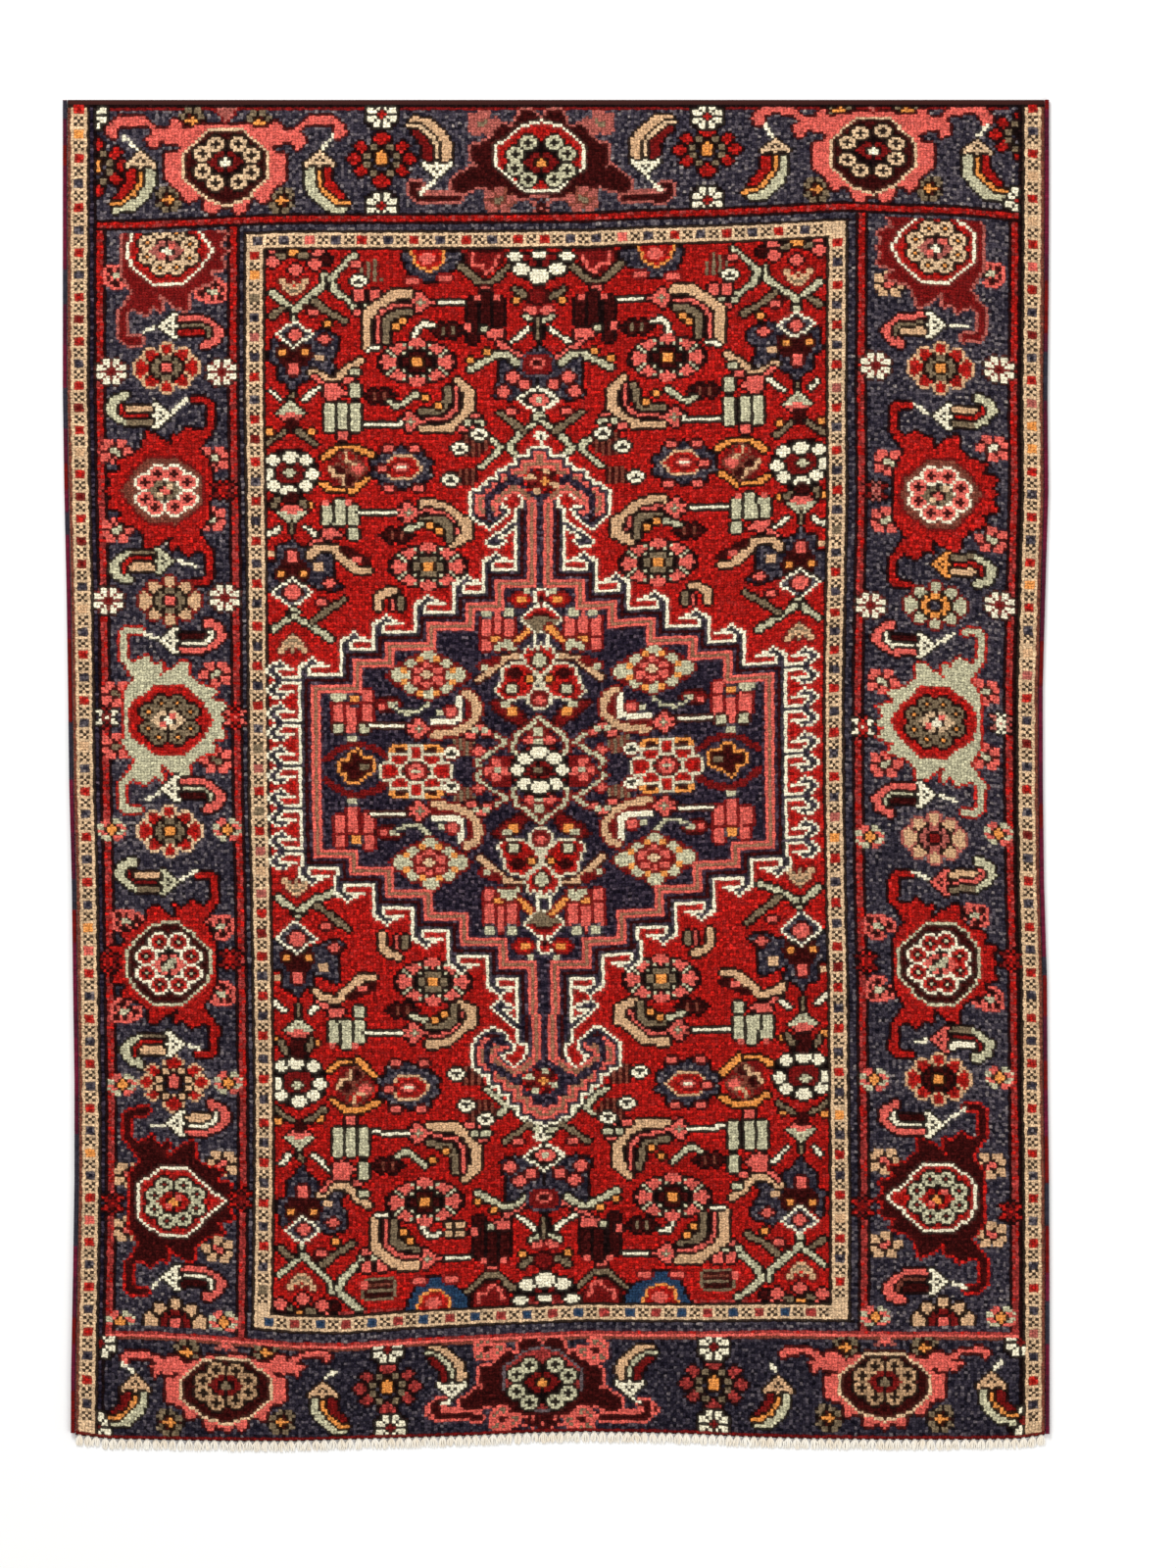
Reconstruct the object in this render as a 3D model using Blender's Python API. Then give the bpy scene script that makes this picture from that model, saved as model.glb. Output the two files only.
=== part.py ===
"""A hand-knotted village rug, lying flat.

X runs across the rug, Y along it towards the head, Z up. The origin is the middle of the
underside. The cloth is one piece: cotton foundation, wool pile and, at the head, the narrow
flat web that starts the weaving. A wool-wrapped cord runs along each side, and at the foot
the warp ends are knotted into a short fringe.
"""
import random

import bmesh
import bpy
import numpy as np

MM = 0.001

# Driving sizes, in metres
RUG_WIDTH = 1.309          # over the side cords, where they stand furthest out
RUG_LENGTH = 1.795         # from the edge of the head web to the tips of the fringe
RUG_THICKNESS = 0.010      # foundation and pile together
TOUCH_GAP = 0.0003         # between pieces that touch on the real rug

WEB_REACH = 0.0065         # flat web beyond the pile at the head
WEB_THICKNESS = 0.0025
WEB_STEP = 0.0003          # how far the pile stands in from the web's sides
PILE_ROUNDING = 0.0025     # the pile's rounded shoulder
PILE_SHOULDER = 0.0008     # where that shoulder's middle lies, inwards and downwards

CORD_WIDTH = 0.0062
CORD_HEIGHT = 0.0080

FRINGE_REACH = 0.0175      # from the pile's edge to the longest tips
STRIP_DEPTH = 0.0016       # the line of knots' roots, along the cloth's edge
STRIP_HEIGHT = 0.0018
BUNDLE_PITCH = 0.0112      # one knot of warps to the next
STRAND_DRIFT = 0.0002      # how far a strand strays sideways
STRAND_RAGGED = 0.0025     # how much shorter the shortest strands are
SEED = 11

# The side edges wander: how far each lies inside the widest line, at a distance down from
# the head. Millimetres.
SIDE_WAVES = (
    # down, left, right
    (0, 0.0, 0.7),
    (130, 0.0, 0.7),
    (260, 0.0, 1.3),
    (390, 0.0, 2.6),
    (520, 2.0, 1.5),
    (650, 5.0, 5.5),
    (780, 7.0, 9.0),
    (910, 8.5, 8.8),
    (1040, 12.0, 7.2),
    (1170, 13.5, 3.3),
    (1300, 15.5, 2.4),
    (1430, 15.5, 0.7),
    (1560, 13.5, 0.0),
    (1690, 11.0, 0.0),
    (1795, 10.5, 0.0),
)

# The pile's foot edge waves too: its height above its lowest line. Millimetres.
FOOT_WAVES = (
    # across, rise
    (-646, 9.8),
    (-632, 8.0),
    (-595, 3.2),
    (-504, 1.3),
    (-426, 0.0),
    (-348, 0.0),
    (-270, 2.6),
    (-192, 4.6),
    (-114, 7.2),
    (-36, 11.0),
    (42, 12.4),
    (120, 11.0),
    (172, 9.8),
    (250, 5.9),
    (328, 3.3),
    (432, 2.0),
    (562, 2.0),
    (614, 3.3),
    (648, 8.5),
)

# A side cord's section, from its outer edge inwards, in shares of its width and height
CORD_SECTION = (
    # across, up
    (0.25, 0.0),
    (0.75, 0.0),
    (1.0, 0.25),
    (1.0, 0.70),
    (0.75, 1.0),
    (0.25, 1.0),
    (0.0, 0.70),
    (0.0, 0.25),
)

# A strand from its root to its tip. Reach is a share of its length, the rest millimetres.
STRAND_FORM = (
    # reach, offset from the bundle's middle, width, height
    (0.0, 1.4, 1.8, 1.8),
    (0.35, 2.3, 3.6, 3.4),
    (0.8, 2.8, 4.2, 2.4),
    (1.0, 2.2, 1.6, 1.2),
)

# Each sub-part's colour, roughness and metallic value
FINISHES = {
    "rug_wool": ((0.40, 0.03, 0.02), 0.95, 0.0),
    "cord_wool": ((0.22, 0.02, 0.06), 0.90, 0.0),
    "fringe_cotton": ((0.80, 0.74, 0.60), 0.90, 0.0),
}

RIGHT = 1
LEFT = -1
HEAD_Y = RUG_LENGTH / 2


def finish(name):
    """A plain material with the sub-part's colour."""
    color, roughness, metallic = FINISHES[name]
    material = bpy.data.materials.new(name)
    material.use_nodes = True
    shader = material.node_tree.nodes["Principled BSDF"]
    shader.inputs["Base Color"].default_value = (*color, 1.0)
    shader.inputs["Roughness"].default_value = roughness
    shader.inputs["Metallic"].default_value = metallic
    return material


def add_object(name, mesh_data, finish_name):
    """Turn a finished bmesh into a named object of the scene."""
    bmesh.ops.recalc_face_normals(mesh_data, faces=mesh_data.faces)
    mesh = bpy.data.meshes.new(name)
    mesh_data.to_mesh(mesh)
    mesh_data.free()
    mesh.materials.append(finish(finish_name))
    piece = bpy.data.objects.new(name, mesh)
    bpy.context.scene.collection.objects.link(piece)
    return piece


def side_x(y, side, inwards=0.0):
    """The rug's side edge at y, or a line that lies further in."""
    down, left, right = np.array(SIDE_WAVES).T
    waves = right if side == RIGHT else left
    wave = np.interp((HEAD_Y - y) / MM, down, waves) * MM
    return side * (RUG_WIDTH / 2 - wave - inwards)


def pile_side_x(y, side):
    """The cloth's own side, just inside the cord."""
    return side_x(y, side, CORD_WIDTH + TOUCH_GAP)


def foot_y(x):
    """The pile's foot edge at x."""
    across, rise = np.array(FOOT_WAVES).T
    return -RUG_LENGTH / 2 + FRINGE_REACH + np.interp(x / MM, across, rise) * MM


def side_stations(side):
    """Heights along one side, from the foot edge up to the head."""
    foot = foot_y(pile_side_x(foot_y(0.0), side))
    stations = [HEAD_Y - row[0] * MM for row in SIDE_WAVES]
    return [foot] + [y for y in reversed(stations) if y > foot + CORD_WIDTH]


def cloth_outline():
    """Points round the cloth, each with the way that leads inwards across and along it."""
    right_side = [(pile_side_x(y, RIGHT), y, LEFT, 0) for y in side_stations(RIGHT)]
    left_side = [(pile_side_x(y, LEFT), y, RIGHT, 0) for y in reversed(side_stations(LEFT))]
    for side in (right_side, left_side):
        for corner in (0, -1):
            x, y, across, _ = side[corner]
            side[corner] = (x, y, across, -1 if y > 0 else 1)
    foot = []
    for row in FOOT_WAVES:
        x = row[0] * MM
        if left_side[-1][0] < x < right_side[0][0]:
            foot.append((x, foot_y(x), 0, 1))
    return right_side + left_side + foot


def loft(mesh_data, rings):
    """Join rings of vertices into a closed skin, capped at both ends."""
    made = [[mesh_data.verts.new(point) for point in ring] for ring in rings]
    for lower, upper in zip(made, made[1:]):
        for i in range(len(lower)):
            j = (i + 1) % len(lower)
            mesh_data.faces.new((lower[i], lower[j], upper[j], upper[i]))
    mesh_data.faces.new(list(reversed(made[0])))
    mesh_data.faces.new(made[-1])


def build_cloth():
    """The knotted cloth: a flat slab whose foundation runs on past the pile at the head."""
    outline = cloth_outline()
    pile_top = RUG_THICKNESS
    levels = (
        # height, inwards all round, further inwards at the head
        (0.0, 0.0, 0.0),
        (WEB_THICKNESS, 0.0, 0.0),
        (WEB_THICKNESS + WEB_STEP, WEB_STEP, WEB_REACH),
        (pile_top - PILE_ROUNDING, WEB_STEP, WEB_REACH),
        (pile_top - PILE_SHOULDER, PILE_SHOULDER, WEB_REACH),
        (pile_top, PILE_ROUNDING, WEB_REACH),
    )
    rings = []
    for height, inwards, head_inwards in levels:
        ring = []
        for x, y, across, along in outline:
            step = inwards + (head_inwards if along < 0 else 0.0)
            ring.append((x + across * inwards, y + along * step, height))
        rings.append(ring)
    mesh_data = bmesh.new()
    loft(mesh_data, rings)
    return add_object("rug", mesh_data, "rug_wool")


def build_side_cord(name, side):
    """The cord that is wrapped with wool along one side."""
    rings = []
    for y in side_stations(side):
        ring = []
        for across, up in CORD_SECTION:
            ring.append((side_x(y, side, across * CORD_WIDTH), y, up * CORD_HEIGHT))
        rings.append(ring)
    mesh_data = bmesh.new()
    loft(mesh_data, rings)
    cord = add_object(name, mesh_data, "cord_wool")
    cord.data.shade_smooth()
    return cord


def strand(mesh_data, root, middle, way, length, drift):
    """Grow one strand out of its root face, along the floor."""
    face_ring = root
    for reach, offset, width, height in STRAND_FORM[1:]:
        x = middle + way * offset * MM + drift
        y = foot_y(x) - TOUCH_GAP - STRIP_DEPTH - reach * length
        half = width * MM / 2
        corners = ((x - half, 0.0), (x + half, 0.0), (x + half, height * MM), (x - half, height * MM))
        ring = [mesh_data.verts.new((cx, y, cz)) for cx, cz in corners]
        for i in range(4):
            j = (i + 1) % 4
            mesh_data.faces.new((face_ring[i], face_ring[j], ring[j], ring[i]))
        face_ring = ring
    mesh_data.faces.new(face_ring)


def build_fringe():
    """The knotted warp ends: pairs of strands that stand out of a narrow strip."""
    chance = random.Random(SEED)
    foot = foot_y(0.0)
    left_end = pile_side_x(foot, LEFT)
    right_end = pile_side_x(foot, RIGHT)
    bundles = round((right_end - left_end) / BUNDLE_PITCH)
    pitch = (right_end - left_end) / bundles
    root_offset = STRAND_FORM[0][1] * MM
    root_half = STRAND_FORM[0][2] * MM / 2
    longest = FRINGE_REACH - TOUCH_GAP - STRIP_DEPTH
    mesh_data = bmesh.new()

    def post(x, depth):
        """A vertex on the floor and one above it, on a line beside the cloth's edge."""
        y = foot_y(x) - TOUCH_GAP - depth
        return [mesh_data.verts.new((x, y, z)) for z in (0.0, STRIP_HEIGHT)]

    first_inner = inner = post(left_end, 0.0)
    first_outer = outer = post(left_end, STRIP_DEPTH)
    for number in range(bundles):
        middle = left_end + (number + 0.5) * pitch
        roots = []
        for way in (LEFT, RIGHT):
            roots.append([post(middle + way * root_offset + edge, STRIP_DEPTH)
                          for edge in (-root_half, root_half)])
        next_inner = post(left_end + (number + 1) * pitch, 0.0)
        next_outer = post(left_end + (number + 1) * pitch, STRIP_DEPTH)
        edge_line = [outer, *roots[0], *roots[1], next_outer]
        for level in (0, 1):
            mesh_data.faces.new([inner[level]] + [p[level] for p in edge_line] + [next_inner[level]])
        mesh_data.faces.new((inner[0], inner[1], next_inner[1], next_inner[0]))
        for start, end in ((0, 1), (2, 3), (4, 5)):
            a, b = edge_line[start], edge_line[end]
            mesh_data.faces.new((a[0], b[0], b[1], a[1]))
        for way, (a, b) in zip((LEFT, RIGHT), roots):
            length = longest - STRAND_RAGGED * chance.random() ** 2
            drift = STRAND_DRIFT * chance.uniform(-1.0, 1.0)
            strand(mesh_data, [a[0], b[0], b[1], a[1]], middle, way, length, drift)
        inner, outer = next_inner, next_outer
    mesh_data.faces.new((first_inner[0], first_outer[0], first_outer[1], first_inner[1]))
    mesh_data.faces.new((inner[0], outer[0], outer[1], inner[1]))
    return add_object("fringe_foot", mesh_data, "fringe_cotton")


def build():
    """Clear the scene and make the rug."""
    for old in list(bpy.data.objects):
        bpy.data.objects.remove(old, do_unlink=True)
    build_cloth()
    build_side_cord("selvedge_left", LEFT)
    build_side_cord("selvedge_right", RIGHT)
    build_fringe()


build()
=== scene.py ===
"""A hand-knotted village rug lying flat, woven knot by knot from its own cartoon."""
import math

import bpy
import numpy as np
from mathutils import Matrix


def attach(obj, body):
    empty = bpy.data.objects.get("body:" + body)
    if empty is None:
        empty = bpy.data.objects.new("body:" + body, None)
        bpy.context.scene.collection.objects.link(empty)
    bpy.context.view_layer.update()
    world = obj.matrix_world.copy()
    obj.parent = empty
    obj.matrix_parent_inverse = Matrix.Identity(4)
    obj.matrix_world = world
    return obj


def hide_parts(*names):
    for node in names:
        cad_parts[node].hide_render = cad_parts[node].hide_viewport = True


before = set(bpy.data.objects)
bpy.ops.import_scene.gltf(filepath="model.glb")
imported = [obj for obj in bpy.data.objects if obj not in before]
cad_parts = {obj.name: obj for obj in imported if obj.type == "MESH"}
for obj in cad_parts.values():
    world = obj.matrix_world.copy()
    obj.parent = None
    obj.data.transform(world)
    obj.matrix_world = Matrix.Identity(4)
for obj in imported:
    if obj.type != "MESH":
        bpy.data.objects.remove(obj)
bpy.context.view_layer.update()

MM = 0.001
chance = np.random.default_rng(11)

# Sizes repeated from the part's source, in metres
RUG_WIDTH = 1.309
RUG_LENGTH = 1.795
TOUCH_GAP = 0.0003
WEB_REACH = 0.0065
WEB_THICKNESS = 0.0025
CORD_WIDTH = 0.0062
CORD_HEIGHT = 0.0080
FRINGE_REACH = 0.0175
STRIP_DEPTH = 0.0016
BUNDLE_PITCH = 0.0112
HEAD_Y = RUG_LENGTH / 2
PILE_HEAD = HEAD_Y - WEB_REACH

# How far each side edge lies inside the widest line. Millimetres.
SIDE_WAVES = np.array((
    # down, left, right
    (0, 0.0, 0.7), (130, 0.0, 0.7), (260, 0.0, 1.3), (390, 0.0, 2.6), (520, 2.0, 1.5),
    (650, 5.0, 5.5), (780, 7.0, 9.0), (910, 8.5, 8.8), (1040, 12.0, 7.2), (1170, 13.5, 3.3),
    (1300, 15.5, 2.4), (1430, 15.5, 0.7), (1560, 13.5, 0.0), (1690, 11.0, 0.0), (1795, 10.5, 0.0),
)).T

# The pile's foot edge: its height above its lowest line. Millimetres.
FOOT_WAVES = np.array((
    # across, rise
    (-646, 9.8), (-632, 8.0), (-595, 3.2), (-504, 1.3), (-426, 0.0), (-348, 0.0), (-270, 2.6),
    (-192, 4.6), (-114, 7.2), (-36, 11.0), (42, 12.4), (120, 11.0), (172, 9.8), (250, 5.9),
    (328, 3.3), (432, 2.0), (562, 2.0), (614, 3.3), (648, 8.5),
)).T

# The cartoon
COLUMNS, ROWS = 300, 468
ROW_PITCH = 0.00377
STEP = 0.0013                                  # the layout's unit
LAYOUT_X, LAYOUT_Y = 567.5, 792.5              # the rug's middle in the layout
FIELD_MIDDLE = 145.0                           # the column that the field is mirrored about
FIELD_WIDENING = 88 / 84                       # the field's right half, against its left half
BODY_WIDENING = 1.026                          # the same for the medallion
EDGE_GAP = 0.0002                              # between the pile's sides and the side cords

# The weaver's level lines wander. How far two of them lie too low at places across, in steps.
LEVEL_WANDER = np.array((
    # across, head line, foot line
    (70, 8.0, -6.0), (150, 6.5, -5.0), (200, 4.5, -2.0), (240, 2.5, 1.5), (300, 0.5, 6.5),
    (350, 0.5, 7.5), (420, 0.5, 2.5), (510, 0.0, -2.0), (600, -1.0, -5.5), (660, -4.0, -5.0),
    (725, -5.5, -5.0), (795, -8.5, -6.0), (860, -12.0, -5.0), (920, -9.5, -4.5),
    (980, -7.5, -4.5), (1030, -2.5, -4.0), (1070, 0.0, -4.0),
)).T

# The yarns: sRGB colour, and how much a knot may stray
YARNS = {
    "r": ((161, 22, 17), 0.25),      # field red
    "R": ((112, 18, 17), 0.14),      # deep red
    "b": ((51, 46, 57), 0.57),       # navy
    "d": ((38, 31, 45), 0.56),       # dark navy
    "g": ((96, 84, 86), 0.14),       # grey navy
    "s": ((224, 97, 85), 0.12),      # salmon
    "p": ((172, 90, 80), 0.12),      # dusty pink
    "c": ((222, 186, 146), 0.10),    # cream
    "t": ((214, 170, 128), 0.08),    # tan
    "w": ((250, 240, 208), 0.04),    # white
    "e": ((194, 188, 154), 0.12),    # sage
    "o": ((122, 104, 80), 0.12),     # olive
    "m": ((54, 10, 9), 0.24),        # maroon
    "k": ((20, 7, 7), 0.30),         # brown black
    "a": ((238, 150, 72), 0.08),     # orange
    "n": ((118, 60, 46), 0.14),      # brown
    "i": ((150, 50, 46), 0.24),      # faded red
    "u": ((36, 60, 88), 0.12),       # blue
    "j": ((150, 104, 78), 0.14),     # camel
    "f": ((178, 140, 104), 0.16),    # faded tan
    "l": ((220, 208, 176), 0.10),    # worn white
}
PLUM, DARK_PLUM = (104, 24, 48), (84, 24, 44)    # dye lots of the side cords
CODES = {letter: number for number, letter in enumerate(YARNS)}


def side_x(y, side, inwards=0.0):
    """The rug's side edge at y, or a line that lies further in."""
    waves = SIDE_WAVES[1] if side < 0 else SIDE_WAVES[2]
    wave = np.interp((HEAD_Y - y) / MM, SIDE_WAVES[0], waves) * MM
    return side * (RUG_WIDTH / 2 - wave - inwards)


def pile_side_x(y, side):
    return side_x(y, side, CORD_WIDTH + TOUCH_GAP)


def pile_ends(y):
    """The left and right ends of a row of knots at y."""
    return pile_side_x(y, -1) + EDGE_GAP, pile_side_x(y, 1) - EDGE_GAP


def foot_y(x):
    return -RUG_LENGTH / 2 + FRINGE_REACH + np.interp(x / MM, *FOOT_WAVES) * MM


def row_y(row, x):
    """Where a row lies at x, with its wander."""
    across = x / STEP + LAYOUT_X
    head = np.interp(across, LEVEL_WANDER[0], LEVEL_WANDER[1]) * STEP
    foot = np.interp(across, LEVEL_WANDER[0], LEVEL_WANDER[2]) * STEP
    end = PILE_HEAD - ROWS * ROW_PITCH - foot_y(x)
    y = PILE_HEAD - row * ROW_PITCH
    right = np.interp(across, (560, 640), (0, 1))
    y = y - head * (1 - right) * np.interp(row, (0, 30, 50, 150), (0, 1, 1, 0))
    y = y - head * right * np.interp(row, (0, 30, 170, 202, 217, 232, 262, 290, 420),
                                     (0, 1, 1, 1.5, 1.6, 1.35, 1.2, 0.9, 0))
    y = y - foot * np.interp(row, (330, 424, 436, ROWS), (0, 1, 1, 0))
    return y - end * np.interp(row, (436, ROWS), (0, 1))


def knot_place(column, row):
    """Metres of a place on the knot grid."""
    y = PILE_HEAD - row * ROW_PITCH
    for _ in range(3):
        left, right = pile_ends(y)
        x = left + (right - left) * column / COLUMNS
        y = row_y(row, x)
    return x, y


middle_columns, middle_rows = np.meshgrid(np.arange(COLUMNS) + 0.5, np.arange(ROWS) + 0.5)

knots = np.full((ROWS, COLUMNS), CODES["b"], np.uint8)
clip = np.ones((ROWS, COLUMNS), bool)          # where a motif may be drawn


def knot_at(x, y):
    """The knot column and row of a place in the layout."""
    metres_x, metres_y = (x - LAYOUT_X) * STEP, (LAYOUT_Y - y) * STEP
    left, right = pile_ends(metres_y)
    column = (metres_x - left) / (right - left) * COLUMNS
    row = (PILE_HEAD - metres_y) / ROW_PITCH
    for _ in range(3):
        row = row + (row_y(row, metres_x) - metres_y) / ROW_PITCH
    return float(column), float(row)


def grow(mask):
    """The mask and the knots beside it."""
    out = mask.copy()
    out[1:] |= mask[:-1]
    out[:-1] |= mask[1:]
    out[:, 1:] |= mask[:, :-1]
    out[:, :-1] |= mask[:, 1:]
    return out


def paint(mask, yarn, edge=None):
    if edge:
        knots[grow(mask) & ~mask & clip] = CODES[edge]
    knots[mask & clip] = CODES[yarn]


def put(chart, column, row, allowed, edge=None):
    """Knot a chart in where that is allowed, its head left corner at a knot."""
    codes = np.array([[CODES.get(letter, -1) for letter in line] for line in chart])
    high, wide = codes.shape
    top, left = max(row, 0), max(column, 0)
    drawn = np.full(knots.shape, -1)
    drawn[top:row + high, left:column + wide] = codes[top - row:ROWS - row,
                                                      left - column:COLUMNS - column]
    whole = drawn >= 0
    if edge:
        knots[grow(whole) & ~whole & allowed] = CODES[edge]
    knots[whole & allowed] = drawn[whole & allowed]


def polygon_mask(points):
    """The knots inside an outline of knot places."""
    columns, rows = zip(*points)
    part = (slice(max(int(min(rows)) - 1, 0), max(int(max(rows)) + 2, 0)),
            slice(max(int(min(columns)) - 1, 0), max(int(max(columns)) + 2, 0)))
    x, y = middle_columns[part], middle_rows[part]
    inside = np.zeros(x.shape, bool)
    for (x0, y0), (x1, y1) in zip(points, points[1:] + points[:1]):
        if y0 != y1:
            inside ^= ((y0 > y) != (y1 > y)) & (x < (x1 - x0) * (y - y0) / (y1 - y0) + x0)
    mask = np.zeros(knots.shape, bool)
    mask[part] = inside
    return mask


def line_mask(points, width):
    """A run of knots along a path of knot places, so many knots wide."""
    mask = np.zeros(knots.shape, bool)
    reach = (width - 1) / 2
    spread = np.linspace(-reach, reach, int(width * 2) + 1) if width > 1 else [0.0]
    spots = [(a, b) for a in spread for b in spread if a * a + b * b <= reach * reach + 0.3]
    for (c0, r0), (c1, r1) in zip(points, points[1:]):
        steps = int(max(abs(c1 - c0), abs(r1 - r0)) * 3) + 2
        c, r = np.linspace(c0, c1, steps), np.linspace(r0, r1, steps)
        for a, b in spots:
            ci, ri = np.floor(c + a).astype(int), np.floor(r + b).astype(int)
            good = (ci >= 0) & (ci < COLUMNS) & (ri >= 0) & (ri < ROWS)
            mask[ri[good], ci[good]] = True
    return mask


class Pen:
    """Draws motifs from layout places, about a middle of their own where `to` is given.

    A turned pen swaps the two axes. A pen with mirror or fold draws the same motif on the
    field's right half or foot half.
    """

    def __init__(self, to=(0.0, 0.0), right=1, down=1, turned=False, scale=(1.0, 1.0),
                 mirror=False, fold=None, widening=FIELD_WIDENING):
        self.to, self.right, self.down, self.turned, self.scale = to, right, down, turned, scale
        self.mirror, self.fold, self.widening = mirror, fold, widening
        half = "head" if fold is None else "foot"
        side = "right" if mirror else "left"
        self.quarter = (half, side, half + side)

    def place(self, points):
        """Knot places of layout places."""
        placed = []
        for x, y in points:
            u, v = x * self.scale[0], y * self.scale[1]
            if self.turned:
                u, v = v, u
            column, row = knot_at(self.to[0] + self.right * u, self.to[1] + self.down * v)
            if self.fold is not None:
                row = float(np.interp(row, *self.fold))
            if self.mirror:
                column = FIELD_MIDDLE + (FIELD_MIDDLE - column) * self.widening
            placed.append((column, row))
        return placed

    def corner(self, x, y, wide, high):
        """The head left knot of a block about a place."""
        (column, row), = self.place([(x, y)])
        return int(round(column - wide / 2)), int(round(row - high / 2))

    def fill(self, points, yarn, edge=None):
        paint(polygon_mask(self.place(points)), yarn, edge)

    def line(self, points, yarn, width=1, edge=None):
        paint(line_mask(self.place(points), width), yarn, edge)

    def dot(self, x, y, wide, high, yarn, edge=None):
        """A small block of knots, its corners off where it is big enough."""
        c, r = self.corner(x, y, wide, high)
        block = np.zeros(knots.shape, bool)
        block[max(r, 0):max(r + high, 0), max(c, 0):max(c + wide, 0)] = True
        if wide > 3 and high > 2:
            rows = [row for row in (r, r + high - 1) if 0 <= row < ROWS]
            columns = [column for column in (c, c + wide - 1) if 0 <= column < COLUMNS]
            block[np.ix_(rows, columns)] = False
        paint(block, yarn, edge)

    def chart(self, x, y, chart, swaps="", edge=None):
        """A chart of knots, its letters changed by pairs such as "rs"."""
        swap = dict(zip(swaps[::2], swaps[1::2]))
        cells = np.array([[swap.get(letter, letter) for letter in line] for line in chart])
        if self.turned:
            cells = cells.T
        if (self.right < 0) != self.mirror:
            cells = cells[:, ::-1]
        if (self.down < 0) != (self.fold is not None):
            cells = cells[::-1]
        high, wide = cells.shape
        put(cells, *self.corner(x, y, wide, high), clip, edge)

    def hatch(self, points, first, second):
        """A striped patch, its stripes along the rug."""
        mask = polygon_mask(self.place(points))
        paint(mask, first)
        mask[:, 1::2] = False
        paint(mask, second)


def read_places(text):
    """Places, or other rows of numbers, that are written as 1,2 3,4."""
    return [tuple(float(number) for number in place.split(",")) for place in text.split()]


def draw(pen, cartoon, **swaps):
    """Draw lines of words: what, its yarns and its edge's yarn, a size, and its places.

    A chart is called by its name, with .h or .v where it lies flipped, and has pairs of letters
    for its yarns. Petals have their middle first, and then each one's place from there and its
    size. A line for some quarters of the field starts with @ and their name, and a
    long one goes on behind a space. A digit stands for a yarn that the caller names.
    """
    for line in cartoon.strip().replace("\n ", " ").splitlines():
        words = line.split()
        if words[0] == "#" or words[0][0] == "@" and words.pop(0)[1:] not in pen.quarter:
            continue
        what, yarns = words[:2]
        for digit, yarn in swaps.items():
            yarns = yarns.replace(digit[-1], yarn)
        yarn, _, edge = yarns.partition("/")
        size = "" if "," in words[2] else words.pop(2)
        places = read_places(" ".join(words[2:]))
        name, _, flips = what.partition(".")
        if what == "fill":
            pen.fill(places, yarn, edge)
        elif what == "line":
            pen.line(places, yarn, float(size), edge)
        elif what == "hatch":
            pen.hatch(places, yarn, edge)
        elif what == "bar":
            for left, right, head, foot in places:
                pen.fill([(left, head), (right, head), (right, foot), (left, foot)], yarn, edge)
        elif what == "petals":
            (x, y), *blocks = places
            for across, along, wide, high in blocks:
                pen.dot(x + across, y + along, int(wide), int(high), yarn, edge)
        elif what == "dot":
            for place in places:
                pen.dot(*place, *map(int, size.split("x")), yarn, edge)
        else:
            chart = CHARTS[name][::-1 if "v" in flips else 1]
            if "h" in flips:
                chart = [row[::-1] for row in chart]
            for place in places:
                pen.chart(*place, chart, yarn, edge)


def clip_to(*blocks):
    """Let motifs be drawn only in blocks of knots: columns, rows."""
    clip[:] = False
    for (left, right), (head, foot) in blocks:
        clip[head:foot, left:right] = True


# ---------------------------------------------------------------------------------------
# Stripes and guard borders
# ---------------------------------------------------------------------------------------
FIELD = (61, 233), (51, 423)                   # columns, rows

# yarns and numbers of knots, from the left side to the right
COLUMN_STRIPES = ("n1 c5 k1 d1 k1 i2 k1 b37 k1 i2 k1 b1 k1 c5 k1 r172 k1 c5 k1 b2 k1 i2 k1 b43 k1 i2 "
                  "k2 c5 n1")
ROW_STRIPES = (
    # first, last, first column, last column, yarn
    (0, 37, 9, 291, "b"), (38, 38, 9, 291, "k"), (39, 40, 9, 291, "i"),
    (41, 41, 9, 291, "k"), (42, 43, 53, 241, "b"), (44, 44, 54, 240, "k"),
    (45, 49, 55, 238, "c"), (50, 50, 60, 233, "k"),
    (422, 422, 61, 232, "i"), (423, 423, 60, 233, "k"), (424, 428, 55, 238, "c"),
    (429, 429, 54, 240, "k"), (430, 432, 53, 241, "b"), (433, 433, 9, 291, "i"),
    (434, 434, 9, 291, "s"), (435, 435, 9, 291, "n"), (436, 467, 9, 291, "b"),
    (467, 467, 0, 299, "R"), (0, 0, 0, 299, "k"), (1, 1, 12, 288, "R"),
)

CROSS = ["k.k", ".k.", "k.k"]


def stripes():
    across = "".join(part[0] * int(part[1:]) for part in COLUMN_STRIPES.split())
    knots[:] = [CODES[yarn] for yarn in across]
    for first, last, left, right, yarn in ROW_STRIPES:
        knots[first:last + 1, left:right + 1] = CODES[yarn]
    # the thin lines change from red to a faded dye lot towards the foot
    faded = np.interp(middle_rows, (60, 150, 300, 430), (0.2, 0.7, 0.55, 0.9))
    line = knots == CODES["i"]
    knots[line & (chance.random(knots.shape) > faded)] = CODES["r"]


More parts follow.
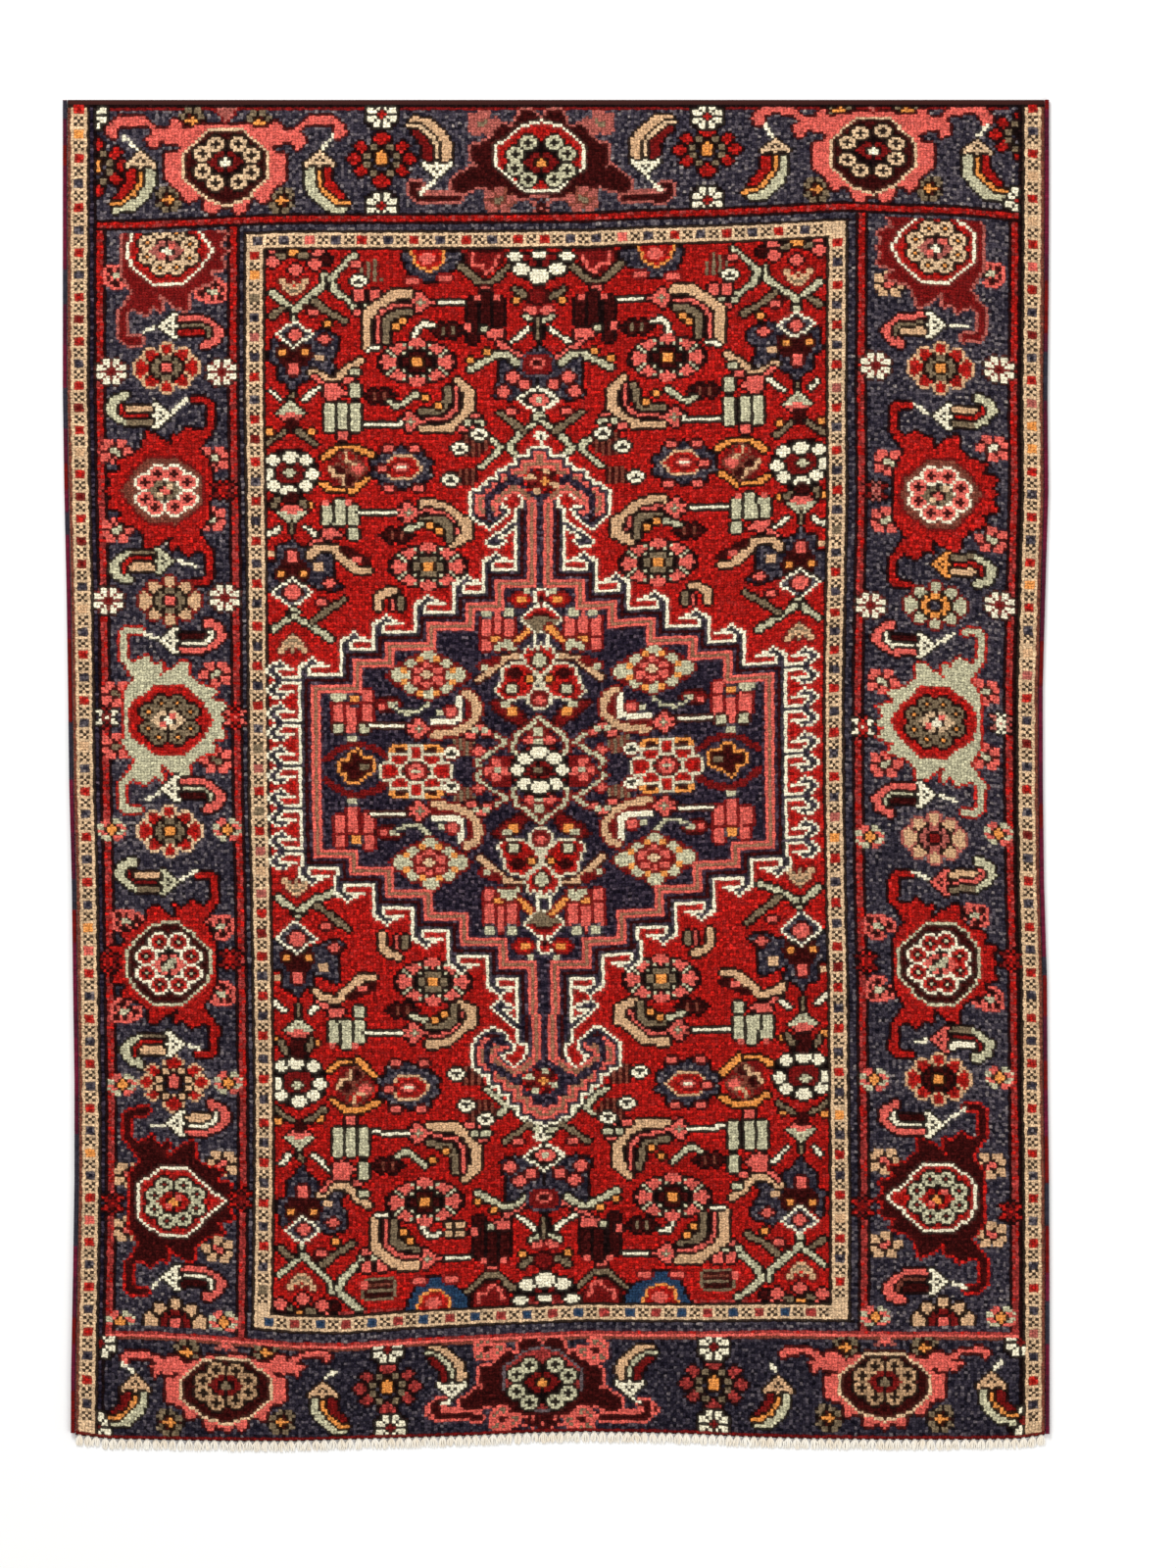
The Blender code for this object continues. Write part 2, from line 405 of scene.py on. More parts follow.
def guards():
    """Squares and crosses by turns in the two guard borders."""
    for column, top, bottom, period in ((2, 0, 466, 8.0), (295, 0, 466, 8.0),
                                        (56, 51, 423, 7.25), (235, 51, 423, 7.25)):
        for number in range(math.ceil((bottom - 7 - top) / period)):
            row = int(round(top + number * period))
            drift = int(chance.integers(0, 2)) if chance.random() < 0.2 else 0
            yarn = str(chance.choice(list("sRtopa"))) if chance.random() < 0.25 else "rb"[number % 2]
            put([yarn * 3] * 3, column, row, True)
            put(CROSS, column, row + 4 - drift, True)
    for row, first, yarns in ((46, 57, "bbsbrbrbrbrr" * 2), (425, 58, "ui" * 12)):
        for number, yarn in enumerate(yarns[:(239 - first) // 8]):
            put([yarn * 3] * 3, first + 8 * number, row, True)
            put(CROSS, first + 8 * number + 4, row, True)


# ---------------------------------------------------------------------------------------
# Motifs that come back
# ---------------------------------------------------------------------------------------
def read_charts(text):
    """Charts by name, given in whole, by the left half (|), the head half (-) or a quarter (+)."""
    charts = {}
    for block in text.strip().split("\n\n"):
        title, *rows = block.split("\n")
        name, _, given = title.partition(" ")
        if given in ("|", "+"):
            rows = [row + row[-2::-1] for row in rows]
        charts[name] = rows + rows[-2::-1] if given in ("-", "+") else rows
    return charts


CHARTS = read_charts("""
floweret +
.xx
xxk
xky

heart |
...qq.
..qqq.
.qq..z
qqq.zz
.qq.zz
..qqq.
...qq.

white_rosette +
.kwwk
kkwwk
wwkwk
wwwkq
kkkqq

small_white +
..ww.
.qwwq
wwqwq
wwwqq
.qqqq

rosette |
.........rr
........rrr
........rrr
...rr....rr
..rrrr.oo..
...rrr.oo..
....r.....a
.rr..oo..aa
rrrr.oo..aa
rrrr.....aa
.rr..oo..aa
....roo....
...rrr.....
..rrrr.oo..
...rr..oo.r
.........rr
........rrr
........rrr
.........rr

wide_rosette +
..........krr
......kkkkrrr
....kkrrekrrr
...krrrrrkekr
..kekrrrkkkkk
.kkkekrkekooo
kkrrkekkkkooo
kkrrrrkkookaa
krrrrrkkookaa

lozenge +
.........tt
........trr
....ttt.trr
...trrrttrr
...trrrrktr
..ttrrrkkoo
.trtkrkokoo
trrrtkkookk
trrrrkookaa
trrrrkookaa

cup |
tt..r
ttr.t
.tttr
.tott
..too
...tt
....r

mushroom |
....e
...ee
..eeo
.eeee
eeess
.ssss
..sss

star -
..ss....
..sss...
sssoss..
.soeosss

eye |
.ww
wwk
wkk
.ww

dark_flower -
..mm.mmm..
.mmommom..
mmmommommm

posy
...kqqq...
...kqqqkqq
.k.kqqkqqq
qqqkykkqqq
qqqkyyykkk
kqqkkyykqq
.kkqqkkqqq
..qqqkqqqk
..qqq.qqq.

ring_posy
....qqqq..
...qqmmqq.
....qmkmqq
qqqkkqkqmq
qmmkyyyqkq
qmkqkyykqq
qqmqqkqmkq
.qqqqmqmmq
...qqqqqq.

olive_flower
....okoo.
..kookook
.ookkmkoo
kookamkok
kmkaaaamk
kookamkok
.ookkmkoo
.kookook.
..ookoo..

bloom
..qq.zz..
.qqqkzzz.
zzqkykqqz
zzkyyykqq
qqkyyykzz
zqqkykzzq
.zzzkqqq.
..zz.qq..

cross_flower +
..q.
zz.q
.zqq
..qz

calyx |
....x
...xx
..xxk
.xxkx
xxxxx
x..kx

bud |
.....ww
....wrr
....wrR
....wRk
....wRk
.....wR
....wwr
...wrrr
..wrrRR
.wrrmmm
lrRmooo
loooooo
.looooo
..loooo
...looo
....wow
....wdd
....wdd
....wdd
....wdd
....wee

boxed_rosette +
....aaaaawww
...aammmawrr
...aammmmwrr
...wwwwwwwrr
...wrrrrrwrr
...wrrrrrwww
.wwwwrrrwkRR
wrrrrwwwRRss
wrrrrrwkRssR
wrrrrrwRRsee

pinwheel
...rmmttr..
.rmmrRttmm.
rttRRRRRmmr
ttttRRaRmRr
rRRRRaaaRRR
rmRmRRaRttt
.mmRRRRRRtt
.rrttRrmmr.
...ttrmmr..

tip |
.ww
wwk
.wk
..w
..w

low_cross +
zz.q
.zqq
..qz

step_hook
....w......
...wdw.....
.wwdddww...
wwddwwwwww.
wddw.......
wddw.......
wddwwwwwwww

side_hooks
....w......
..wwdw.....
.wddddw....
wddwwwwww..
wddw.......
.wddw......
..wddwwwwww
...dddddddd
..wddwwwwww
.wddw......
wddw.......
wddwwwwww..
.wddddw....
..wwdw.....
""")

LEAF = """
line 1/k 3 9,4 9,18 2,29 -10,40 -24,42
line 1 3 9,4 9,18 1,29
line 3/k 3.2 -9,5 -9,16 -16,26 -22,32
line 2/k 1 0,3 0,17 -8,27 -20,37 -31,38
calyx x4/k 0,-8
"""
# the blunt leaf of the side columns, its outer band round the end
BLUNT_LEAF = """
line 1/k 2.6 8,3 8,24 2,35 -7,44 -16,40 -22,30
line 5 2.6 8,3 8,22
line 3/k 2.8 -6,4 -6,25
line 2/k 1 1,3 1,27 -5,34 -12,33
calyx x4/k 0,-8
"""


def border_leaves(table, turned=False, scale=(1.0, 1.0)):
    """Striped leaves. Each has its calyx above its place, and its tail to the left."""
    for x, y, right, down, (outer, thread, inner, calyx), stem in table:
        if stem:
            foot = (x - 16 * right, y) if turned else (x, y - 16 * down)
            Pen().line([foot, stem], "w")
        draw(Pen((x, y), right, down, turned, scale), BLUNT_LEAF if turned else LEAF, yarn1=outer,
             yarn2=thread, yarn3=inner, yarn4=calyx, yarn5="o" if outer == "e" else outer)


def hexagon(short, wide, high):
    return [(-short, -high), (short, -high), (wide, 0), (short, high), (-short, high), (-wide, 0)]


def ring(place, yarns, spots=((12, 20), (25, 8.7)), rim="k", other=None):
    """Eight flowerets round a flower. Yarns: flowerets, their eyes, the flower, its middle."""
    pen = Pen(place)
    outer, eye, inner, centre = yarns
    (_, high), (wide, _) = spots
    pen.fill(hexagon(wide * 0.7, wide, high), "k")
    for edge in (rim, None):
        for across, along in spots:
            for right in (-1, 1):
                for down in (-1, 1):
                    pen.chart(right * across, down * along, CHARTS["floweret"],
                              "x" + outer + "y" + eye, edge)
    pen.fill(hexagon(10, 15, 10), "k")
    pen.chart(0, 0, CHARTS["heart"], "q" + inner + "z" + centre)
    if other:
        pen.dot(-6, 5, 2, 2, other)
        pen.dot(6, -5, 2, 2, other)


# The right halves of the big flowers' outlines, about their middles
TURTLE = read_places("""
0,-39 16,-40 31,-37 44,-36 48,-43 54,-44 59,-34 69,-34 78,-43 85,-47 109,-48 119,-40 123,-32 118,-26
111,-26 110,-38 99,-39 82,-38 74,-32 81,-25 77,-16 71,-14 67,-22 54,-20 46,-17 50,-10 62,-9 62,17
53,23 47,28 44,36 37,41 31,36 24,35 21,48 14,52 7,49 5,43 0,46
""")
FOOT_TURTLE = read_places("""
0,-31 16,-31 31,-26 41,-22 51,-31 58,-31 63,-26 71,-31 81,-35 101,-35 106,-32 106,-26 102,-24
100,-30 81,-30 73,-26 66,-20 73,-21 81,-20 73,-16 74,-10 66,-14 59,-12 51,-14 46,-12 55,-7 61,-7
61,16 48,19 43,24 41,34 36,34 28,30 23,33 20,44 15,46 9,40 4,44 0,48
""")
CROWN = read_places("""
0,40 8,49 20,49 26,40 28,30 38,34 47,33 50,24 58,16 70,15 70,-2 64,-10 73,-8 80,-14 92,-22 92,-30
84,-36 88,-40 128,-40 131,-30 124,-29 122,-35 84,-34 74,-34 60,-28 50,-33 36,-36 20,-40 0,-38
""")
SIDE_PALMETTE = read_places("""
0,62 6,54 17,60 21,43 31,50 36,33 45,22 61,20 58,10 48,-3 45,-8 62,-5 56,-13 60,-17 67,-23 62,-29
60,-37 66,-43 85,-43 89,-39 89,-27 95,-25 95,-44 89,-50 64,-50 52,-41 42,-34 36,-40 24,-46 0,-46
""")
# and of their middles
TURTLE_CORE = read_places("0,-33 17,-33 42,-9 42,15 21,35 0,42")
FOOT_CORE = read_places("0,-26 20,-26 44,-8 45,12 24,30 0,38")
CROWN_CORE = read_places("0,-33 17,-32 43,-9 43,13 20,31 0,37")
POINTED = read_places("0,44 19,32 34,15 34,-12 24,-25 16,-36 0,-38")
EIGHT_SIDES = read_places("0,40 14,40 30,28 40,16 41,-10 32,-22 15,-39 0,-40")
DARK_CORE = read_places("0,-36 18,-34 33,-12 33,14 9,38 0,52")


def palmette(pen, half, core, yarns):
    """A big flower with arms, its horns towards the pen's foot. Yarns: body, edge, line, band."""
    body, edge, line, band = yarns
    pen.fill(half + [(-x, y) for x, y in reversed(half)], body, edge)
    pen.fill(core + [(-x, y) for x, y in reversed(core)], band, line)


# ---------------------------------------------------------------------------------------
# The main border
# ---------------------------------------------------------------------------------------
def crown(place, tip, yarns, posies, scale=(1.0, 1.0)):
    """The flower in the middle of a band."""
    palmette(Pen(place, down=-1, scale=scale), CROWN, CROWN_CORE, yarns)
    ring((place[0], place[1] + 3), "ekRa", ((12.5, 19.5), (26.5, 8.5)))
    for way in (-1, 1):
        pen = Pen(place, right=way, scale=scale)
        pen.line(tip, "m", 2, yarns[1])
        draw(pen, posies)


SIDE_KINDS = {
    # palmette yarns, ring yarns, floweret rim, the other yarn in the middle
    "maroon": ("Rpwr", "capw", "k", "s"),
    "red": ("rkRn", "smos", "w", "c"),
    "sage": ("errr", "oacw", "k", "s"),
    "bright": ("rkem", "rese", "w", "e"),
    "dark": ("mrwr", "eRra", "k", "s"),
}
SIDE_PALMETTES = (
    # middle, arms to the right or left, kind
    (171, 256, 1, "maroon"), (169, 501, -1, "red"), (172, 735, 1, "sage"),
    (173, 984, -1, "bright"), (178, 1226, 1, "dark"),
    (955, 253, -1, "maroon"), (958, 505, 1, "red"), (955, 737, -1, "sage"),
    (958, 983, 1, "bright"), (957, 1222, -1, "dark"),
)
LEAVES = {
    # calyx end, body to the right or left, outer band below or above, yarns, stem's far end
    "side": (
        (180, 333, 1, -1, "sorw", (146, 339)), (157, 424, -1, 1, "ertw", (190, 408)),
        (160, 572, -1, -1, "erte", (198, 577)), (182, 655, 1, 1, "swmw", (148, 646)),
        (182, 806, 1, -1, "semw", (150, 817)), (166, 899, -1, 1, "eRte", (202, 888)),
        (172, 1065, -1, -1, "ertw", (204, 1070)), (187, 1147, 1, 1, "swtw", (156, 1147)),
        (182, 1303, 1, -1, "swmw", (155, 1313)),
        (948, 331, -1, -1, "sotw", (986, 334)), (968, 426, 1, 1, "ertw", (934, 414)),
        (968, 577, 1, -1, "erta", None), (938, 658, -1, 1, "swmw", (973, 647)),
        (938, 810, -1, -1, "semw", (976, 818)), (968, 899, 1, 1, "ests", (930, 889)),
        (966, 1060, 1, -1, "eRws", (934, 1064)), (944, 1147, -1, 1, "swmw", (984, 1132)),
        (949, 1307, -1, -1, "snmw", (984, 1313)),
    ),
    "head": (
        (144, 171, 1, 1, "earc", (127, 141)), (325, 171, -1, 1, "earc", (341, 139)),
        (447, 166, 1, -1, "tcRw", (430, 198)), (658, 163, -1, -1, "tcRw", (674, 195)),
        (790, 158, 1, 1, "earc", (780, 128)), (996, 158, -1, 1, "earc", (1008, 128)),
    ),
    "foot": (
        (138, 1416, 1, 1, "eaRt", (126, 1391)), (330, 1424, -1, 1, "eaRt", (342, 1399)),
        (462, 1412, 1, -1, "teRw", (452, 1432)), (642, 1410, -1, -1, "teRw", (652, 1430)),
        (794, 1418, 1, 1, "eaRt", (786, 1392)), (1012, 1414, -1, 1, "eaRt", (1022, 1388)),
    ),
}
SIDE_POSIES = """
posy qsyekm 214,528 1009,550 1004,772
posy qsyokm 220,777
posy qtys 221,1275 1009,1259
posy.h qsyekm 121,540 905,530 905,779
posy.h qsyokm 122,762
posy.h qtys 132,1254 908,291 905,1271
posy.hv qsyekm 121,461 908,473 902,697
posy.hv qsyokm 121,708
posy.hv qtys 134,1199 904,1184
posy.v qsyekm 215,468 219,689 1004,706
posy.v qsywkm 1011,459
posy.v qtys 225,1187 1008,1191
ring_posy qsye 215,297 225,1012 1008,1020
ring_posy.h qsye 128,1030 898,1010
ring_posy.hv qsye 122,284 132,940 898,946
ring_posy.v qsye 224,948 1007,282 992,936
"""
SIDE_FLOWERS = """
rosette o.a./t 178,1107
rosette r.otas/k 178,1107
lozenge rrttooas 169,375
lozenge rttRooas 174,612
lozenge rrtcooaa 174,847
lozenge rttkoRas 178,1349 962,1349
lozenge rrttooaa 958,375
lozenge retRoaab 955,618
lozenge rttpopaR 953,856
lozenge rrttomaa 957,1101
small_white qR/m 114,380 226,380 111,614 230,611 894,374 1020,377 887,619 1020,619
bloom qszeya 114,847 233,847 125,1106 232,1106 888,854 1018,850 893,1102 1020,1098 123,1348 230,1348
 893,1345 1020,1344
cross_flower qrzR/k 229,500 109,981 234,979 884,980 1030,979
cross_flower qRzw/k 111,733
cross_flower qrzs/k 241,733
cross_flower qRzr/k 116,1228 246,1222 879,1230 1030,1236
cross_flower qpzR/k 893,500
cross_flower qrzw/k 880,741
cross_flower qwzp/k 1020,738
"""


def border():
    """The side columns of the main border."""
    clip_to(((7, 56), (43, 431)), ((240, 294), (43, 431)))
    draw(Pen(), SIDE_POSIES)
    for x, y, right, kind in SIDE_PALMETTES:
        yarns, ring_yarns, rim, other = SIDE_KINDS[kind]
        core = {"bright": EIGHT_SIDES, "dark": DARK_CORE}.get(kind, POINTED)
        palmette(Pen((x, y), right, turned=True), SIDE_PALMETTE, core, yarns)
        spots = ((9, 21.5), (22.5, 8.5)) if kind == "bright" else ((8.6, 18.3), (21.5, 7.4))
        ring((x, y), ring_yarns, spots, rim, other)
    draw(Pen(), SIDE_FLOWERS)
    border_leaves(LEAVES["side"], True, (0.9, 1.0))


def head_band():
    clip_to(((9, 292), (1, 38)))
    draw(Pen(), """
olive_flower.hv - 198,125 857,113
olive_flower.h - 175,205 834,193
olive_flower.v - 264,125 923,113
olive_flower - 287,205 946,193
""")
    for place in ((231, 167), (890, 155)):
        palmette(Pen(place), TURTLE, TURTLE_CORE, "smcm")
        ring(place, "ckRw")
    crown((552, 162), read_places("84,41 124,41 130,36 130,28 124,28"), "mpwr", """
posy qpyokp 58,-36
posy qpyokn 42,42
""")
    draw(Pen(), """
fill p/R 221,111 241,111 231,127
fill p/R 880,99 900,99 890,115
rosette -/k 391,164 722,155 97,171 1043,140
white_rosette qr/k 390,117 391,210 722,118 722,206 95,118 1040,205
cross_flower qmzp 551,212
""")
    border_leaves(LEAVES["head"])


def foot_band():
    clip_to(((7, 294), (435, 467)))
    draw(Pen(), """
olive_flower.hv - 192,1380 864,1376
olive_flower.h - 176,1452 848,1448
olive_flower.v - 270,1380 942,1376
olive_flower - 286,1452 958,1448
""")
    for place in ((231, 1414), (903, 1410)):
        palmette(Pen(place), FOOT_TURTLE, FOOT_CORE, "smcm")
        ring(place, "fkRo", ((10, 16), (23, 6.5)))
    draw(Pen(), "low_cross qszp 231,1370 903,1366")
    crown((553, 1408), read_places("70,41 116,41 121,34 120,26 111,25"), "msgi",
          "ring_posy qsmoymks 58,-36 42,42", (0.9, 0.9))
    draw(Pen(), """
# the crown's lowest leaves
fill m 538,1441 569,1441 572,1451 564,1455 554,1459 544,1455 536,1451
petals s 554,1452 -17,1,2,1 -10,5,1,1 11,5,1,1 18,1,2,1 0,0,1,2 -12,-5,1,2 13,-5,1,2
rosette ri/k 397,1418 727,1412
white_rosette qR/k 396,1377 398,1457 727,1375 727,1452 104,1372 98,1455 1042,1368 1046,1448
""")
    border_leaves(LEAVES["foot"], scale=(0.85, 0.82))


# ---------------------------------------------------------------------------------------
# The field. Its head left quarter is drawn, and comes back mirrored and folded.
# ---------------------------------------------------------------------------------------
# Rows in the head half, and the rows that they come back on in the foot half
FOLD = np.array(read_places("""
50,424 53.4,421 80.7,394 91,385.2 108.3,365.2 129.7,343.8 145.9,323.8 162,309 170.7,300
185.2,283.1 199.7,267.6 234.5,233.8
""")).T
# the same for the motifs along the field's sides
EDGE_FOLD = np.array(read_places("""
50,424 56.2,419.3 64.1,411.4 73.4,401.7 80.7,394 93.4,381 108.3,362.4 129.7,344.5 145.9,323.4
149.3,318.3 158.6,306.6 171.7,293.1 178.6,284.8 184.8,278.6 190.7,275.2 234.5,233.8
""")).T

# Motifs along the field's side, from the head corner down
FIELD_SIDE = """
# the corner flower and its forked stem
dot s/k 3x2 279,258
dot o/k 3x2 288,263
dot a/k 4x2 301,257
dot o/k 3x2 311,262
dot s/k 5x3 325,259
dot m/k 3x3 333,266
dot s/k 4x4 300,275 279,269 321,269
cup -/R 300,294
line e/k 1.5 276,298 300,317 300,326
line e/k 1.5 300,317 316,303 329,293 331,282
line o/k 1.4 276,324 288,315
line e/k 1.5 362,262 350,272 338,284 342,296 358,309
line o/k 1.4 321,308 334,318 352,328
dot s/m 3x2 321,320
dot m 3x2 312,314
dot a/k 2x2 335,331
# navy leaves round a dotted diamond
fill b/k 277,344 292,354 308,354 316,343 327,337 346,344 346,356 338,366 341,378 333,385 322,380
 317,368 316,386 306,391 299,400 292,391 283,386 284,372 276,370
fill m 284,350 317,350 321,363 313,373 287,373 281,364
fill b/w 300,330 317,341 300,353 284,341
dot s/m 4x4 300,341
dot s/m 4x3 332,348
dot s/m 3x4 299,378
dot a 2x2 288,359 311,359
dot t 3x2 325,366
line w/k 1 278,400 286,408
line w/k 1 327,395 310,408
line o/k 1 298,403 298,412
mushroom -/k 298,420
line m 4 297,432 297,438
dot a/m 2x2 275,442 317,442
line o/k 1.2 289,441 273,454
line o/k 1.2 305,441 322,454
# the big white rosette
fill k/k 285,461 308,461 322,473 322,492 308,505 285,505 273,492 273,473
fill R 285,474 308,474 315,484 308,493 285,493 279,484
petals w/k 296,484 0,-18,5,4 -16,-13,4,4 17,-13,4,4 -21,0,3,4 23,0,4,4 -15,13,4,4 0,17,5,4 17,13,4,4
dot e/m 4x3 296,484
# the flower upside down
line m 5 297,508 297,516
dot a/m 2x2 277,517
line o/k 1.4 284,509 280,516
dot a/m 2x2 316,516
line o/k 1.4 308,511 311.8,518
mushroom.v -/k 297,527
line o/k 1 298,536 298,545
line w/k 1 285,539 274,546
line w/k 1 310,537 322,546
# navy leaves again
fill b/k 297,549 304,557 313,560 313,573 322,568 338,562 341,575 339,590 350,600 336,603 322,598
 313,595 298,588 283,596 275,603 275,575 284,575 283,558 292,558
fill m 288,572 310,572 318,584 314,596 298,588 284,596 280,584
dot s/m 3x4 298,567
dot a 2x2 287,586 309,586
dot t 2x2 277,565
dot t/b 3x3 326,577
dot s/m 4x3 336,595
fill b/w 298,592 317,605 298,619 279,605
dot s/m 5x5 298,604
dot e/k 4x3 299,625
line e/k 1.5 297,629 279,643
line e/k 1.5 301,629 320,641 339,653
line o/k 1.4 318,635 335,623 352,612
dot s/m 3x2 327,616
cup.v ro/R 299,658
"""
FIELD_FLOWERS = """
# along the head: a striped bud, the half flowers
@head hatch R/o 366,267 386,265 390,287 370,289
@head dot s/m 3x2 362,271
@head eye -/k 366,286
@foot fill m/o 366,272 396,272 396,288 366,288
@foot line o 1 370,278 393,278
@foot line n 1 370,283 393,283
@foot dot s 2x3 364,283
dot s/k 3x4 367,303 382,303
dot e/k 2x2 361,312 374,312
dot s/k 3x2 367,319
fill b/k 409,257 472,257 468,272 450,282 445,288 428,288 418,280
fill r/a 421,256 452,256 449,270 437,276 425,270
dot s 5x4 437,263
dot s/R 4x2 421,286 453,285
fill R/m 477,257 515,257 510,270 497,281 486,278 477,268
line s 1 483,259 483,270 492,271 496,279 503,275 508,262
line o/k 1.4 471,273 480,280 489,289 501,289 510,281 519,272
dot s/m 3x2 496,296
# the half white rosette at the middle
fill k 516,257 552,257 552,291 540,288 523,281
petals w/k 551.5,260 -27,1,5,3 -20,15,5,4 0,22,6,5 0,0,4,2
petals R 551.5,260 -13,3,3,2 -6,9,2,2
line o/k 1.4 526,296 533,301 540,304
dot a/k 2x2 528,308
dot R/m 5x5 551.5,302
dot s/R 5x3 541,318
line e/k 1.1 536,323 544,327 551.5,328
line o/k 1 551.5,326 551.5,347
line w/k 1 521,350 540,335
# the dark block
bar m/k 476,488,305,350 492,502,300,334 505,515,305,334
dot s 2x2 486,303 508,303
fill s/k 497,336 514,336 515,350 508,349 498,344
dot e/k 2x2 494,337
dot s/k 2x3 476,335
line s/k 1.4 509,350 520,358 532,366
line e/k 1.5 481,377 493,370 508,361 519,363 533,375
dot a/k 2x2 496,359 482,367
# star, lines and dark flowers round the first rosette
line w/k 1 446,308 474,308
star -/k 432,309
line t/k 2.7 418,301 402,301 387,312 375,322 374,352
line s/k 1 418,311 403,312 390,319 385,326 385,352
line o/k 1.9 418,319 403,321 395,328 394,349
dot a/k 2x2 403,335 412,328
line w/k 1 376,357 386,356
line w/k 1.1 423,346 425,337 433,330 443,334
@head dark_flower -/k 456,338
@footright dark_flower -/k 456,338
@footleft petals t/k 457,338 -5,-5,3,2 5,-5,3,2 -5,4,3,2 5,4,3,2
wide_rosette rsom 425,371
dark_flower on/k 389,404
line e/k 1.3 398,410 404,416 411,413 426,401
line t/k 2.7 468,391 478,400 479,416 470,431 455,438 432,438
line s/k 1 467,396 467,415 457,426 435,429
line o/k 1.9 457,396 456,410 449,420 431,421
dot a/k 2x2 435,407 446,414
star -/k 420,432
line w/k 1 373,434 410,432
# a leaf, and the first sage block
line t/k 1.8 319,379 333,388 345,387 355,377 367,369
dot e/k 3x2 362,380
dot s/k 3x2 355,389
line s/k 1.2 321,384 333,394
fill s/k 331,393 346,393 354,401 341,409 331,406
bar e/k 331,341,411,440 345,355,411,442 359,369,411,440 359,369,391,407
dot s/k 3x3 350,446
# the orange ringed rosette
fill R 340,462 367,462 376,480 366,497 341,497 333,480
line a/k 1.4 331,467 345,457 362,456 378,464
line a/k 1.4 329,494 340,501 352,501
line a/k 1.4 359,502 367,495 377,488
dot m/n 4x4 345,480
dot r/n 4x4 354,468
dot s/n 4x4 365,477
dot m/n 4x4 354,490
line t 1 352,463 355,471 362,474
line t 1 337,477 342,486 350,486 352,493
# the navy flower
fill b/k 393,456 402,463 410,455 420,463 431,456 432,467 442,472 438,479 442,488 433,490 428,500
 420,494 410,500 400,494 391,499 389,490 378,486 382,478 378,470 389,467
fill r/t 401,468 421,468 430,478 421,488 401,488 392,478
dot s/R 5x3 411,478
dot w 3x1 411,478
dot s/m 3x2 397,457 423,457 397,500 427,499 391,478
# the second sage block
bar e/k 328,338,515,535 341,351,510,535 355,366,515,535 355,366,538,552
dot s 2x2 333,513 357,513
fill s/k 328,538 341,538 350,546 338,550 328,549
line s/k 1.2 328,550 318,558
line t/k 2 317,567 324,560 341,559 351,572 366,583 376,583
line m 3 352,562 376,574
dot s 3x2 365,570
line w/k 1 369,523 404,524
star -/k 420,523
dark_flower on/k 406,546
line e/k 1.3 414,540 424,538 430,535
line t/k 2.7 432,515 450,516 465,526 478,536 477,546 462,555
line s/k 1 432,521 450,523 463,533 467,545
line o/k 1.9 433,529 450,530 458,537 457,552
dot a/k 2x2 438,535 448,541
wide_rosette rsoo 436,577
line t/k 2 386,621 386,611 393,605 402,603
line s/k 1 400,621 400,612
line o/k 1.4 409,621 409,611
# towards the middle: navy leaves, dotted diamond, pods
fill b/k 510,366 519,370 527,377 540,370 543,358 551.5,350 551.5,397 541,394 531,406 519,408 504,405
 510,388
dot R/b 9x7 551.5,371
dot s 5x4 551.5,371
dot m 3x2 551.5,371
dot s/m 4x4 522,386 514,399
dot s/m 3x3 535,393
fill k/w 551.5,397 570,408 551.5,419 533,408
dot s 6x4 551.5,408
dot e 2x2 551.5,408
dot e/k 4x4 551.5,426
line e/k 1.3 547,431 535,440 524,450 519,458 527,465
line o/k 1.4 508,421 518,428 535,440
dot s/m 3x2 523,421
line e/k 1.3 502,449 511,457 502,467 491,476
dot s/k 3x2 471,438 484,426
dot e/k 3x2 478,431 490,431
dot s/k 3x2 487,439
hatch m/n 470,443 497,444 502,452 494,465 474,467
eye -/k 488,444 471,459
hatch m/n 466,480 488,478 486,497 466,497
eye -/k 459,489
"""


def quarters(fold, widening=FIELD_WIDENING):
    return [Pen(mirror=mirror, fold=half, widening=widening)
            for half in (None, fold) for mirror in (False, True)]


# ---------------------------------------------------------------------------------------
# The medallion
# ---------------------------------------------------------------------------------------
# The left halves of its outlines: the stepped body, then the curls at its ends
HEAD_STEPS = read_places("""
560,520 528,520 528,582 495,582 495,605 464,605 464,625 426,625 426,647 384,647 384,665 349,665
349,689 308,689 308,790 560,790
""")
FOOT_STEPS = read_places("""
560,1064 530,1064 530,997 498,997 498,974 460,974 460,949 422,949 422,926 383,926 383,903 345,903
345,883 308,883 308,780 560,780
""")
HEAD_CURL = read_places("""
560,458 546,460 539,467 526,467 526,474 518,474 518,482 507,482 507,489 498,489 498,496 491,496
491,502 482,502 482,527 492,534 500,540 508,532 515,526 519,521 517,518 510,518 510,513 519,505
525,501 531,504 535,510 535,530 533,536 560,536
""")
FOOT_CURL = read_places("""
560,1147 545,1143 538,1138 531,1138 531,1127 521,1127 521,1117 511,1117 511,1107 501,1107 501,1097
491,1097 491,1089 483,1089 483,1065 493,1055 504,1048 514,1056 522,1064 522,1072 510,1077 517,1084
524,1090 533,1083 538,1074 538,1062 534,1054 560,1054
""")
# Thin lines and the barbs that they end in
BARBS = (
    ("533,530 500,553", "497,553 503,549 506,552 517,551 511,557 503,558"),
    ("532,1051 506,1028", "503,1027 510,1021 517,1025 522,1028 509,1029 508,1032"),
)
BODY_SIDE = (308, 781)                         # the middle of its left side
BODY_BANDS = "dmdsjs"                          # inside the white line, then the navy ground
CURL_BANDS = "dsjs"

